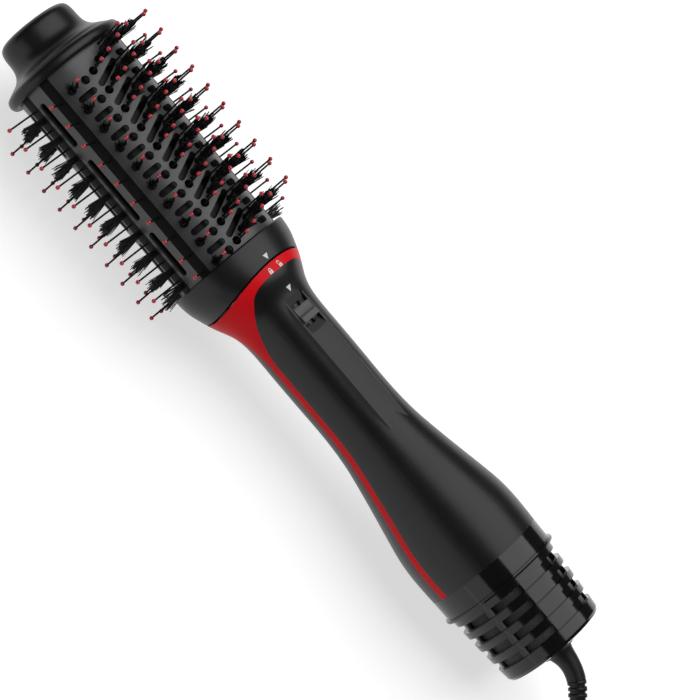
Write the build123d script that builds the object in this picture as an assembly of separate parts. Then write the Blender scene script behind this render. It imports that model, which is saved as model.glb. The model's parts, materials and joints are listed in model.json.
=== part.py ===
from build123d import *
import os
from math import sin, cos, tan, asin, radians, degrees, pi

# Hot air brush: oval bristle head on a round handle, lying on its back.
# Stations are millimetres from the cool tip, measured along the brush.
# The axis is X with the tip at +X; +Z is the front (switch) side; z = 0 is the table.

# ---------------------------------------------------------------- driving dimensions
# head
BARREL_SIDE = 29.8          # half width of the oval barrel
BARREL_FRONT = 23.8         # half height of the oval barrel
OVAL_JOIN = 40.5            # angle from the front where the flat arc meets the side arc
BARREL_WALL = 2.0
FIT = 0.05                  # clearance all round where one oval sits in another
CAP_LENGTH = 27.0           # cool tip, knob and rim together
CAP_WALL = 2.2
CAP_RIM = 4.1               # how far the rim stands out from the barrel
KNOB_SIDE = 21.0
KNOB_FRONT = 17.6
BARREL_SEAT = 3.0           # how deep the barrel sits in the cap rim
BARREL_VISIBLE = 116.0      # barrel length between the rim and the collar
COLLAR_TOP_WALL = 2.0
COLLAR_WALL = 2.3
BOSS_RADIUS = 3.6
FRAME_SCREW = 2.5           # pilot hole of the frame screws
SCREW_HEIGHT = 13.6         # height of the frame screws above the axis

# bristle field
ROW_PITCH = 11.35
FIRST_ROW = CAP_LENGTH + 11.6       # station of the first row at its left end
ROWS = int((BARREL_VISIBLE - 2.3) / ROW_PITCH)
ROW_SWEEP = 8.0             # how far a row climbs towards the tip
SWEEP_HALF = 12.0           # half width over which it climbs
HOLE_DIAMETER = 4.3
TUFT_COLUMNS = (-20.0, 0.0, 6.2, 12.4, 20.0)
VENT_COLUMNS = (-12.0, -6.0)
PIN_COLUMNS = ((-17.0, 0.0), (-7.0, 0.0), (-3.0, 0.0), (3.0, 0.0),
               (6.2, 3.3), (9.2, 0.0), (22.5, 0.0))
PIN_PROUD = 18.6            # pin height above the barrel, ball included
PIN_DIAMETER = 0.9
BALL_DIAMETER = 2.1
BALL_CROWN = 0.8            # ball left above the end of its pin
PIN_HOLE = 1.7
TUFT_PROUD = 13.0
TUFT_BASE = 3.4
TUFT_TIP = 5.0
BOSS_CLEARANCE = 0.2
BOSS_TOP = -0.8             # tuft bosses stop this far under the barrel's face
SLOT_WIDTH = 3.3
FRAME_DEPTH = 4.0           # air gap between the barrel wall and the pin frame
FRAME_WALL = 1.6
FRAME_HALF_ANGLE = 39.5
RAIL_DEPTH = 1.0
RAIL_CLEARANCE = 0.05
CORNER_RAIL = (41.8, 56.6)  # angles from the front
SIDE_RAIL = (81.0, 99.0)
CORNER_PIN_SHIFT = (-1.8, 9.8)
SIDE_TUFT_SHIFT = -1.3
SIDE_PIN_SHIFT = 4.3
SIDE_SLOT_ANGLE = 72.0

# slots of the barrel's wall: place across, place after a row, length and lean
ROW_SLOT = (15.5, -1.7, 8.0, 0)
GAP_SLOTS = ((-15.6, 6.1, 10.1, 0), (-0.15, 3.0, 17.5, 22.0))

# twist lock
PARTING_DEPTH = 18.2        # from the collar's first edge to its last at the sides
PARTING_RISE = 5.2          # how much nearer the tip it is at the front
PARTING_GAP = 1.0
SPIGOT_RADIUS = 19.5
SPIGOT_WALL = 2.2
SOCKET_CLEARANCE = 0.1
SOCKET_WALL = 4.4
LUG_HEIGHT = 1.8
LUG_LENGTH = 3.0
LUG_HALF_ANGLE = 4.0
TWIST_HALF = 6.5            # twist each way from the middle, degrees
LUG_PLAY = 1.0              # degrees
DOG_HALF_ANGLE = 10.0
DOG_PLAY = 0.5
AIR_BORE = 10.5

# handle
HANDLE_WALL = 2.2
GRIP_RADIUS = 20.2
BELL_RADIUS = 30.8          # end of the handle, where the air inlet joins
HANDLE_LENGTH = 185.5       # collar and handle shells together
STRIPE_HALF = 2.35          # half width of the red side stripe
PAD_TOP = GRIP_RADIUS + 0.3     # height of the raised front panel above the axis
PAD_HALF = 7.9
KNOB_TRAVEL = 4.0           # switch travel each way
KNOB_LENGTH = 8.0
SWITCH_LENGTH = 20.3
SWITCH_HALF = 5.4
SWITCH_RAMP = 5.2           # length of the sloping floor at each end of the recess
SWITCH_FLOOR = PAD_TOP - 1.9
SWITCH_SEAT = PAD_TOP - 3.3
KNOB_BOTTOM = PAD_TOP - 0.4     # underside of the knob, clear of the ramps over its travel
SHELL_BOSS = 3.4
SCREW_SEAT = -6.0
BOARD_BOTTOM, BOARD_TOP = 7.4, 9.0
BOARD_LENGTH = 33.5

# heater, motor and fan
HEATER_LENGTH = 58.0
SLEEVE_OUTER = GRIP_RADIUS - HANDLE_WALL - 0.7
SLEEVE_INNER = SLEEVE_OUTER - 0.6
MICA = 0.8
WIRE_TURNS = 9
WIRE_RADIUS = SLEEVE_INNER - 2.5
WIRE_THICKNESS = 0.9
CAN_RADIUS = 13.0
CAN_LENGTH = 24.0
SHAFT_RADIUS = 1.15
FAN_LENGTH = 9.5
FAN_RADIUS = 24.6
FAN_BLADES = 9

# air intake
BAND_LENGTH = 12.5          # plain band from the handle to the first groove's rib
GROOVE_COUNT = 4
GROOVE_PITCH = 8.0
GROOVE_WIDTH = 4.4
GROOVE_RADII = (27.3, 27.0, 26.7, 26.3)
WINDOW_COUNT = 7            # windows in each groove; the front has none
WINDOW_ANGLE = 38.0
FRONT_COLUMN = 46.0         # plain width at the front, degrees

# swivel, strain relief and lead
SWIVEL_RADIUS = 9.1
SWIVEL_THICKNESS = 3.0
SWIVEL_NECK = 6.4
SWIVEL_CLEARANCE = 0.1
CORD_DIAMETER = 7.0
BOOT_BEND = 40.0
BOOT_BEND_RADIUS = 26.0
BOOT_DROP = 34.0            # the bend leans this far below level
BOOT_STRAIGHT = 4.0
BOOT_TAIL = 26.0
BOOT_NECK = 6.6
BOOT_RADIUS = 5.0
BOOT_CORE = 4.0
BOOT_TAPER = 0.025          # how much less each rib's radius is, for each millimetre along
BOOT_RIBS = 8
COIL_MEAN = 84.0            # diameter across the middle of the turns
COIL_COLUMNS = 3
COIL_LAYERS = 2
COIL_CENTRE = (-322.0, -4.0)

# plug
PLUG_LENGTH, PLUG_WIDTH, PLUG_HEIGHT = 58.0, 38.0, 25.0
PLUG_BOOT = 16.0
PLUG_PLACE = (-356.0, 47.5)     # where the cord enters the plug's strain relief
BUTTON = (9.0, 6.0)
BUTTON_TRAVEL = 1.2
BUTTON_PLACES = {"test_button": 18.0, "reset_button": 34.0}
BLADE_SPACING = 12.7
BLADE_LENGTH, BLADE_WIDTH, BLADE_THICKNESS = 25.4, 6.3, 1.5

# ---------------------------------------------------------------- stations along the brush
# head
BARREL_START = CAP_LENGTH - BARREL_SEAT
COLLAR_START = CAP_LENGTH + BARREL_VISIBLE
BARREL_END = COLLAR_START + COLLAR_TOP_WALL
PLATE_END = BARREL_END + 2.5
SOCKET_END = PLATE_END + 12.5
TIP_BAFFLE_START = BARREL_START
TIP_BAFFLE_END = TIP_BAFFLE_START + 2.0

# twist lock
SPIGOT_START = PLATE_END + 0.5
LUG_START = SPIGOT_START + 1.5
LOCK_RING_START = SOCKET_END + 1.6
LOCK_RING_END = LOCK_RING_START + 5.0
CLIP_START = LOCK_RING_START - 1.2
FLANGE_START = LOCK_RING_END + 0.15
FLANGE_END = FLANGE_START + 2.0
SPIGOT_END = FLANGE_END + 4.75
PARTING_SIDE = COLLAR_START + PARTING_DEPTH
SOCKET_RADIUS = SPIGOT_RADIUS + SOCKET_CLEARANCE + SOCKET_WALL
DOG_INNER, DOG_OUTER = SPIGOT_RADIUS + 1.1, SPIGOT_RADIUS + 2.9
LOCK_RING_RADIUS = SPIGOT_RADIUS + 3.1
FLANGE_RADIUS = SPIGOT_RADIUS + 2.0

# handle
HANDLE_END = COLLAR_START + HANDLE_LENGTH
SWITCH_START = SPIGOT_END + 1.5
SWITCH_END = SWITCH_START + SWITCH_LENGTH
KNOB_START = SWITCH_START + (SWITCH_LENGTH - KNOB_LENGTH) / 2
KNOB_END = KNOB_START + KNOB_LENGTH
BOARD_START = SWITCH_START + 2.5
BOARD_END = BOARD_START + BOARD_LENGTH
HEATER_START = SWITCH_END + 10.7
HEATER_END = HEATER_START + HEATER_LENGTH
SHELL_SCREWS = ((SWITCH_END + 5.2, GRIP_RADIUS - 6.8), (HANDLE_END - 49.5, GRIP_RADIUS - 3.7))
CAN_END = HANDLE_END - 10.5
CAN_START = CAN_END - CAN_LENGTH
DUCT_START, DUCT_END = CAN_START + 10, CAN_END + 2
FAN_START = DUCT_END + 1.5
FAN_END = FAN_START + FAN_LENGTH

# air inlet and swivel
VENT_FLANGE = HANDLE_END + BAND_LENGTH
VENT_BAND = VENT_FLANGE - 2.0
GROOVE_START = VENT_FLANGE + 3.6
GROOVE_END = GROOVE_START + (GROOVE_COUNT - 1) * GROOVE_PITCH + GROOVE_WIDTH
VENT_END = GROOVE_END + 8.0
SWIVEL_START = VENT_END + 0.3
BOOT_START = SWIVEL_START + SWIVEL_THICKNESS

# the middle of the brush's length is the origin
TIP_X = BOOT_START / 2


# ---------------------------------------------------------------- basic shapes
def rod(s0, s1, radius):
    return Pos(-(s0 + s1) / 2, 0, 0) * Rot(0, 90, 0) * Cylinder(radius, s1 - s0)


def ring(s0, s1, outer, inner):
    return rod(s0, s1, outer) - rod(s0 - 1, s1 + 1, inner)


def as_part(solid):
    return Part(Compound([solid]).wrapped)


def pie(radius, height, angle):
    """Wedge of a cylinder from +X towards +Y, centred on z = 0."""
    return as_part(Solid.make_cylinder(radius, height, Plane.XY.offset(-height / 2), angle))


def block(s0, s1, y0, y1, z0, z1):
    return Pos(-(s0 + s1) / 2, (y0 + y1) / 2, (z0 + z1) / 2) * Box(s1 - s0, y1 - y0, z1 - z0)


def post(s, y, z0, z1, radius):
    return Pos(-s, y, (z0 + z1) / 2) * Cylinder(radius, z1 - z0)


def oval_arcs(a, b):
    """Centre offsets and radii of the four tangent arcs of an oval."""
    half = tan(radians(OVAL_JOIN / 2))
    side_centre = (a - b) / (1 - half)
    side_radius = a - side_centre
    flat_radius = side_radius + side_centre / sin(radians(OVAL_JOIN))
    return side_centre, side_radius, flat_radius, flat_radius - b


def oval_point(a, b, psi):
    """Point of the oval where its normal stands psi degrees from the front."""
    side_centre, side_radius, flat_radius, flat_centre = oval_arcs(a, b)
    p = radians(psi)
    if abs(psi) <= OVAL_JOIN:
        return flat_radius * sin(p), flat_radius * cos(p) - flat_centre
    if abs(psi) >= 180 - OVAL_JOIN:
        return flat_radius * sin(p), flat_radius * cos(p) + flat_centre
    side = 1 if psi > 0 else -1
    return side * side_centre + side_radius * sin(p), side_radius * cos(p)


def oval_wire(s, a, b):
    j = OVAL_JOIN
    corners = [(-j, 0, j), (j, 90, 180 - j), (180 - j, 180, j - 180), (j - 180, -90, -j)]
    edges = []
    for first, middle, last in corners:
        pts = [Vector(-s, *oval_point(a, b, psi)) for psi in (first, middle, last)]
        edges.append(Edge.make_three_point_arc(*pts))
    return Wire(edges)


def oval_rod(s0, s1, a, b):
    face = Face(oval_wire(s0, a, b))
    return as_part(Solid.extrude(face, Vector(-(s1 - s0), 0, 0)))


def oval_loft(sections):
    return as_part(Solid.make_loft([oval_wire(s, a, b) for s, a, b in sections]))


def surface(psi, s):
    """Plane on the barrel's outer face: z out along the normal, x along the brush.

    psi runs from the front towards the right-hand side, which is -Y.
    """
    across, z = oval_point(BARREL_SIDE, BARREL_FRONT, psi)
    p = radians(psi)
    return Plane(origin=(-s, -across, z), x_dir=(1, 0, 0), z_dir=(0, -sin(p), cos(p)))


def drilled(psi, s, radius, above, below):
    """Round tool through the barrel wall at one place."""
    return surface(psi, s) * Pos(0, 0, (above - below) / 2) * Cylinder(radius, above + below)


def joined(shapes):
    return Part() + shapes


def common(first, second):
    """What two bodies share."""
    return joined(first.intersect(second).solids())


def as_group(solids):
    return Compound(children=[s for part in solids for s in part.solids()])


# ---------------------------------------------------------------- bristle pattern
FLAT_RADIUS = oval_arcs(BARREL_SIDE, BARREL_FRONT)[2]
FACE_DIRECTIONS = {"front": 1, "back": -1}


def psi_at(u, direction):
    """Angle from the front for a place u along the face, mirrored on the back."""
    psi = degrees(u / FLAT_RADIUS)
    if direction > 0:
        return psi
    return (180 - psi) if u > 0 else (-180 - psi)


def row_station(row, u, shift=0.0):
    x = min(max((u + SWEEP_HALF) / (2 * SWEEP_HALF), 0), 1)
    climb = ROW_SWEEP * x * x * (3 - 2 * x)
    return FIRST_ROW + row * ROW_PITCH - climb - shift


def wall_tools(direction):
    """Holes and slots of one flat face of the barrel."""
    tools = []
    depth = BARREL_WALL + 1.5
    for row in range(ROWS):
        for u in TUFT_COLUMNS + VENT_COLUMNS:
            tools.append(drilled(psi_at(u, direction), row_station(row, u),
                                 HOLE_DIAMETER / 2, 2, depth))
        for u, shift in PIN_COLUMNS:
            tools.append(drilled(psi_at(u, direction), row_station(row, u, shift),
                                 PIN_HOLE / 2, 2, depth))
        base = FIRST_ROW + row * ROW_PITCH
        tools.append(slot_tool(direction, base, *ROW_SLOT))
        if row < ROWS - 1:
            tools += [slot_tool(direction, base, *slot) for slot in GAP_SLOTS]
    return tools


def slot_tool(direction, base, u, after, length, lean):
    psi = psi_at(u, direction)
    flat = SlotOverall(length, SLOT_WIDTH)
    turn = 90 + lean * (1 if direction > 0 else -1)
    place = surface(psi, base + after) * Pos(0, 0, -BARREL_WALL - 1.5)
    return place * Rot(0, 0, turn) * extrude(flat, BARREL_WALL + 2.5)


def side_slot_tools():
    tools = []
    spans = [(CAP_LENGTH + 6.7, CAP_LENGTH + 32.0), (CAP_LENGTH + 40.4, COLLAR_START - 39.6),
             (COLLAR_START - 31.8, COLLAR_START - 6.3)]
    for s0, s1 in spans:
        for psi in (SIDE_SLOT_ANGLE, 180 - SIDE_SLOT_ANGLE, -SIDE_SLOT_ANGLE, SIDE_SLOT_ANGLE - 180):
            flat = SlotOverall(s1 - s0, SLOT_WIDTH)
            place = surface(psi, (s0 + s1) / 2) * Pos(0, 0, -BARREL_WALL - 1.5)
            tools.append(place * extrude(flat, BARREL_WALL + 2.5))
    return tools


def side_sector(psi0, psi1, s0, s1, outer_drop, inner_drop):
    """Curved bar under the barrel's side arc, between two angles on one side."""
    centre, radius = oval_arcs(BARREL_SIDE, BARREL_FRONT)[:2]
    side = 1 if psi0 > 0 else -1
    outer, inner = radius - outer_drop, radius - inner_drop
    pts = {}
    for name, r in (("o", outer), ("i", inner)):
        for key, psi in (("0", psi0), ("m", (psi0 + psi1) / 2), ("1", psi1)):
            p = radians(psi)
            pts[name + key] = Vector(-s0, -side * centre - r * sin(p), r * cos(p))
    edges = [Edge.make_three_point_arc(pts["o0"], pts["om"], pts["o1"]),
             Edge.make_line(pts["o1"], pts["i1"]),
             Edge.make_three_point_arc(pts["i1"], pts["im"], pts["i0"]),
             Edge.make_line(pts["i0"], pts["o0"])]
    return as_part(Solid.extrude(Face(Wire(edges)), Vector(-(s1 - s0), 0, 0)))


def rail_angles():
    """Name and angle span of each of the six rails set into the barrel."""
    c0, c1 = CORNER_RAIL
    s0, s1 = SIDE_RAIL
    return {
        "corner_rail_front_left": (-c1, -c0), "corner_rail_front_right": (c0, c1),
        "corner_rail_back_left": (c0 - 180, c1 - 180), "corner_rail_back_right": (180 - c1, 180 - c0),
        "side_rail_left": (-s1, -s0), "side_rail_right": (s0, s1),
    }


# ---------------------------------------------------------------- head
def barrel_shell():
    tube = oval_rod(BARREL_START, BARREL_END, BARREL_SIDE, BARREL_FRONT)
    tube -= oval_rod(BARREL_START - 1, BARREL_END + 1,
                     BARREL_SIDE - BARREL_WALL, BARREL_FRONT - BARREL_WALL)
    tools = wall_tools(1) + wall_tools(-1) + side_slot_tools()
    for psi0, psi1 in rail_angles().values():
        tools.append(side_sector(psi0, psi1, CAP_LENGTH, BARREL_END + 1, -1, RAIL_DEPTH))
    return tube - tools


def axis_height():
    """Height of the brush's axis when it lies on the tips of its back pins."""
    lowest = min(abs(u) for u, shift in PIN_COLUMNS) / FLAT_RADIUS
    radius = BALL_DIAMETER / 2
    reach = FLAT_RADIUS + PIN_PROUD - radius
    return reach * cos(lowest) - oval_arcs(BARREL_SIDE, BARREL_FRONT)[3] + radius


AXIS_Z = axis_height()


def pin(psi, s, root_drop):
    """Round pin from a root below the barrel's face to its end inside the ball."""
    top = PIN_PROUD - BALL_CROWN
    return surface(psi, s) * Pos(0, 0, (top - root_drop) / 2) * Cylinder(PIN_DIAMETER / 2,
                                                                          top + root_drop)


def ball(psi, s):
    """Ball tip, moulded round the end of its pin."""
    radius = BALL_DIAMETER / 2
    depth = BALL_DIAMETER
    socket = Pos(0, 0, PIN_PROUD - BALL_CROWN - depth / 2) * Cylinder(PIN_DIAMETER / 2, depth)
    return surface(psi, s) * (Pos(0, 0, PIN_PROUD - radius) * Sphere(radius) - socket)


def tuft(psi, s, root):
    """Bundle of bristles as one cone."""
    height = TUFT_PROUD - root
    cone = Cone(TUFT_BASE / 2, TUFT_TIP / 2, height)
    return surface(psi, s) * Pos(0, 0, root + height / 2) * cone


def face_places(direction, columns):
    places = []
    for row in range(ROWS):
        for column in columns:
            u, shift = column if isinstance(column, tuple) else (column, 0.0)
            places.append((psi_at(u, direction), row_station(row, u, shift)))
    return places


def pin_frame(direction):
    """Curved plate under one flat face, with a boss for each tuft and every pin."""
    flat_radius, flat_centre = oval_arcs(BARREL_SIDE, BARREL_FRONT)[2:]
    outer = flat_radius - BARREL_WALL - FRAME_DEPTH
    inner = outer - FRAME_WALL
    length = BARREL_END - TIP_BAFFLE_END
    middle = (BARREL_END + TIP_BAFFLE_END) / 2
    span = 2 * FRAME_HALF_ANGLE
    plate = pie(outer, length, span) - Cylinder(inner, length + 2)
    plate = Rot(0, 0, -FRAME_HALF_ANGLE) * plate
    # cylinder axis to X, middle of the arc to +Z
    plate = Pos(-middle, 0, -flat_centre) * Rot(0, -90, 0) * plate
    heel = block(BARREL_END - 8, BARREL_END, -4, 4, inner - flat_centre - 4.8,
                 inner - flat_centre + 0.4)
    plate += heel
    if direction < 0:
        plate = plate.mirror(Plane.XY)
    floor = BARREL_WALL + FRAME_DEPTH + FRAME_WALL / 2
    parts = []
    for psi, s in face_places(direction, TUFT_COLUMNS):
        parts.append(surface(psi, s) * Pos(0, 0, (BOSS_TOP - floor) / 2)
                     * Cylinder(HOLE_DIAMETER / 2 - BOSS_CLEARANCE, floor + BOSS_TOP))
    for psi, s in face_places(direction, PIN_COLUMNS):
        parts.append(pin(psi, s, floor))
    frame = joined([plate] + parts)
    z = direction * SCREW_HEIGHT
    frame -= Pos(0, 0, z) * rod(BARREL_END - 7, BARREL_END + 1, FRAME_SCREW / 2)
    return frame


def face_tufts(direction):
    return as_group([tuft(psi, s, BOSS_TOP) for psi, s in face_places(direction, TUFT_COLUMNS)])


def face_tips(direction):
    return as_group([ball(psi, s) for psi, s in face_places(direction, PIN_COLUMNS)])


def rail_places(psi, shift, clear):
    """One place per row along a rail; the last stays clear of the collar."""
    limit = COLLAR_START - clear
    return [(psi, min(FIRST_ROW + row * ROW_PITCH - shift, limit)) for row in range(ROWS)]


def rail_pin_places(name):
    psi0, psi1 = rail_angles()[name]
    if name.startswith("side"):
        shift = SIDE_PIN_SHIFT
    else:
        shift = CORNER_PIN_SHIFT[0 if name.endswith("left") else 1]
    return rail_places((psi0 + psi1) / 2, shift, BALL_DIAMETER)


def rail(name):
    psi0, psi1 = rail_angles()[name]
    margin = degrees(RAIL_CLEARANCE / oval_arcs(BARREL_SIDE, BARREL_FRONT)[1])
    bar = side_sector(psi0 + margin, psi1 - margin, CAP_LENGTH + 0.1, COLLAR_START - 0.1,
                      0, RAIL_DEPTH - RAIL_CLEARANCE)
    return joined([bar] + [pin(psi, s, RAIL_DEPTH / 2) for psi, s in rail_pin_places(name)])


def side_tufts():
    return as_group([tuft(psi, s, 0.0) for psi0 in (-90, 90)
                     for psi, s in rail_places(psi0, SIDE_TUFT_SHIFT, TUFT_TIP / 2 + 1.2)])


def rail_tips(side):
    names = [n for n in rail_angles() if n.endswith(side)]
    return as_group([ball(psi, s) for n in names for psi, s in rail_pin_places(n)])


def cool_tip_cap():
    rim_side, rim_front = BARREL_SIDE + CAP_RIM, BARREL_FRONT + CAP_RIM
    knob = oval_loft([(1.8, KNOB_SIDE - 1.2, KNOB_FRONT - 1.2), (4.0, KNOB_SIDE - 0.35, KNOB_FRONT - 0.35),
                      (9.0, KNOB_SIDE, KNOB_FRONT), (13.0, KNOB_SIDE + 0.5, KNOB_FRONT + 0.5),
                      (16.0, KNOB_SIDE + 2.0, KNOB_FRONT + 2.0),
                      (18.5, KNOB_SIDE + 5.2, KNOB_FRONT + 5.0),
                      (20.5, rim_side - 3.2, rim_front - 3.2), (21.6, rim_side - 1.0, rim_front - 1.0)])
    crown = oval_loft([(0.0, KNOB_SIDE - 4.8, KNOB_FRONT - 4.8), (0.6, KNOB_SIDE - 2.6, KNOB_FRONT - 2.6),
                       (1.8, KNOB_SIDE - 1.2, KNOB_FRONT - 1.2)])
    rim = oval_loft([(21.6, rim_side - 1.0, rim_front - 1.0), (23.0, rim_side, rim_front),
                     (25.6, rim_side, rim_front), (CAP_LENGTH, rim_side - 1.0, rim_front - 1.0)])
    cap = knob + crown + rim
    cap -= oval_loft([(CAP_WALL, KNOB_SIDE - CAP_WALL - 1.6, KNOB_FRONT - CAP_WALL - 1.6),
                      (15.0, KNOB_SIDE - CAP_WALL, KNOB_FRONT - CAP_WALL),
                      (BARREL_START, KNOB_SIDE - CAP_WALL + 1, KNOB_FRONT - CAP_WALL + 1)])
    cap -= oval_rod(BARREL_START, CAP_LENGTH + 1, BARREL_SIDE + FIT, BARREL_FRONT + FIT)
    boss = rod(CAP_WALL - 0.4, BARREL_START, BOSS_RADIUS)
    return cap + boss - rod(CAP_WALL + 4, BARREL_START + 1, FRAME_SCREW / 2)


def tip_baffle():
    inset = BARREL_WALL + 0.05
    plate = oval_rod(TIP_BAFFLE_START, TIP_BAFFLE_END, BARREL_SIDE - inset, BARREL_FRONT - inset)
    return plate - rod(TIP_BAFFLE_START - 1, TIP_BAFFLE_END + 1, 1.6)


def screw(length, shank, head_radius, head_height):
    """Cross-head screw along +Z, its head's underside at z = 0, its point at -length."""
    body = Pos(0, 0, -length / 2) * Cylinder(shank / 2, length)
    head = Pos(0, 0, head_height / 2) * Cylinder(head_radius, head_height)
    head = fillet(head.edges().group_by(Axis.Z)[-1], head_height * 0.45)
    cross = Box(head_radius * 1.2, 0.7, 1.6) + Box(0.7, head_radius * 1.2, 1.6)
    return body + head - Pos(0, 0, head_height) * cross


def axial_screw(s, y, z, length, towards_tip=True):
    """Screw along the brush whose head's underside is at station s."""
    turn = -90 if towards_tip else 90
    return Pos(-s, y, z) * Rot(0, turn, 0) * screw(length, 2.4, 2.4, 1.9)


def tip_screw():
    return axial_screw(TIP_BAFFLE_END, 0, 0, 14)


def frame_screws():
    return as_group([axial_screw(PLATE_END, 0, z, 8.5) for z in (SCREW_HEIGHT, -SCREW_HEIGHT)])


def body_sections():
    """Half width and half height of the collar and handle, station by station."""
    side, front, grip, bell = BARREL_SIDE, BARREL_FRONT, GRIP_RADIUS, BELL_RADIUS
    collar_part = [(0, side + 3.7, front + 3.7), (4, side + 3.5, front + 3.7),
                   (8, side + 2.7, front + 3.5), (11.6, side + 1.4, front + 3.2),
                   (14.5, side, front + 3.1), (18.2, side - 1.9, front + 3.1)]
    neck_part = [(21, 6.3, 6.1), (25, 4.3, 4.3), (29, 2.35, 2.35), (34, 0.85, 0.85),
                 (40, 0.15, 0.15), (52, 0, 0), (72, 0, 0), (97, 0, 0)]
    bell_part = [(76.5, grip + 0.85), (64.5, grip + 2.65), (48.5, grip + 5.65),
                 (32.5, bell - 1.8), (22.5, bell - 0.2), (14.5, bell + 0.3),
                 (6.5, bell + 0.25), (0, bell)]
    return ([(COLLAR_START + s, a, b) for s, a, b in collar_part]
            + [(COLLAR_START + s, grip + a, grip + b) for s, a, b in neck_part]
            + [(HANDLE_END - s, r, r) for s, r in bell_part])


def outer_form():
    return oval_loft(body_sections())


def inner_form(wall):
    return oval_loft([(s, a - wall, b - wall) for s, a, b in body_sections()])


def parting_tool(station):
    """Everything on the tip side of the curved parting between collar and handle."""
    half = GRIP_RADIUS + 7
    radius = (half ** 2 + PARTING_RISE ** 2) / (2 * PARTING_RISE)
    centre = station - radius
    drum = Pos(-centre, 0, 0) * Rot(90, 0, 0) * Cylinder(radius, 90)
    return drum


OUTER = outer_form()
INNER = inner_form(HANDLE_WALL)


def collar():
    body = common(OUTER, parting_tool(PARTING_SIDE))
    body = fillet(body.edges().filter_by_position(Axis.X, -COLLAR_START - 0.01,
                                                  -COLLAR_START + 0.01), 1.0)
    cavity = common(inner_form(COLLAR_WALL), block(BARREL_END, 200, -50, 50, -50, 50))
    body -= cavity
    return body - oval_rod(COLLAR_START - 1, BARREL_END + 1, BARREL_SIDE + FIT, BARREL_FRONT + FIT)


def sector(s0, s1, outer, inner, a0, a1):
    """Part of a ring between two angles about the axis, from the front towards +Y."""
    body = pie(outer, s1 - s0, a1 - a0) - Cylinder(inner, s1 - s0 + 2)
    return Pos(-(s0 + s1) / 2, 0, 0) * Rot(0, -90, 0) * Rot(0, 0, a0) * body


def head_socket():
    """Plate closing the barrel, with the bayonet tube behind it."""
    plate = oval_rod(BARREL_END, PLATE_END, BARREL_SIDE + 0.5, BARREL_FRONT + 0.9)
    tube = ring(PLATE_END, SOCKET_END, SOCKET_RADIUS, SPIGOT_RADIUS + SOCKET_CLEARANCE)
    body = plate + tube - rod(BARREL_END - 1, PLATE_END + 1, AIR_BORE)
    groove = SPIGOT_RADIUS + LUG_HEIGHT + 0.2
    reach = LUG_HALF_ANGLE + TWIST_HALF + LUG_PLAY
    for base in (0, 180):
        body -= sector(LUG_START - 0.5, LUG_START + LUG_LENGTH + 0.3, groove, SPIGOT_RADIUS - 1,
                       base - reach, base + reach)
        body -= sector(LUG_START - 0.5, SOCKET_END + 1, groove, SPIGOT_RADIUS - 1,
                       base - LUG_HALF_ANGLE - LUG_PLAY, base + reach)
    for base in (90, 270):
        half = DOG_HALF_ANGLE + DOG_PLAY
        body -= sector(SOCKET_END - 5.2, SOCKET_END + 1, DOG_OUTER + 0.15, DOG_INNER - 0.15,
                       base - half, base + half)
    for z in (SCREW_HEIGHT, -SCREW_HEIGHT):
        body -= Pos(0, 0, z) * rod(BARREL_END - 1, PLATE_END + 1, 1.4)
    return body


# ---------------------------------------------------------------- lock
def lock_ring():
    """Turning ring on the spigot; its two dogs drive the head's socket."""
    body = ring(LOCK_RING_START, LOCK_RING_END, LOCK_RING_RADIUS, SPIGOT_RADIUS + SOCKET_CLEARANCE)
    for base in (90, 270):
        body += sector(SOCKET_END - 4.9, LOCK_RING_START + 1, DOG_OUTER, DOG_INNER,
                       base - DOG_HALF_ANGLE, base + DOG_HALF_ANGLE)
    return body


def retaining_clip():
    body = ring(CLIP_START, CLIP_START + 1.0, SPIGOT_RADIUS + 0.7, SPIGOT_RADIUS - 0.65)
    return body - block(CLIP_START - 1, CLIP_START + 2, -2.5, 2.5, -25, -15)


def spigot():
    """Air outlet tube of the handle with two bayonet lugs and a clamping flange."""
    tube = ring(SPIGOT_START, SPIGOT_END, SPIGOT_RADIUS, SPIGOT_RADIUS - SPIGOT_WALL)
    tube += ring(FLANGE_START, FLANGE_END, FLANGE_RADIUS, SPIGOT_RADIUS - 1)
    tube -= ring(CLIP_START, CLIP_START + 1.0, SPIGOT_RADIUS + 2, SPIGOT_RADIUS - 0.7)
    for base in (0, 180):
        tube += sector(LUG_START, LUG_START + LUG_LENGTH, SPIGOT_RADIUS + LUG_HEIGHT,
                       SPIGOT_RADIUS - 1, base - LUG_HALF_ANGLE, base + LUG_HALF_ANGLE)
    return tube


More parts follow.
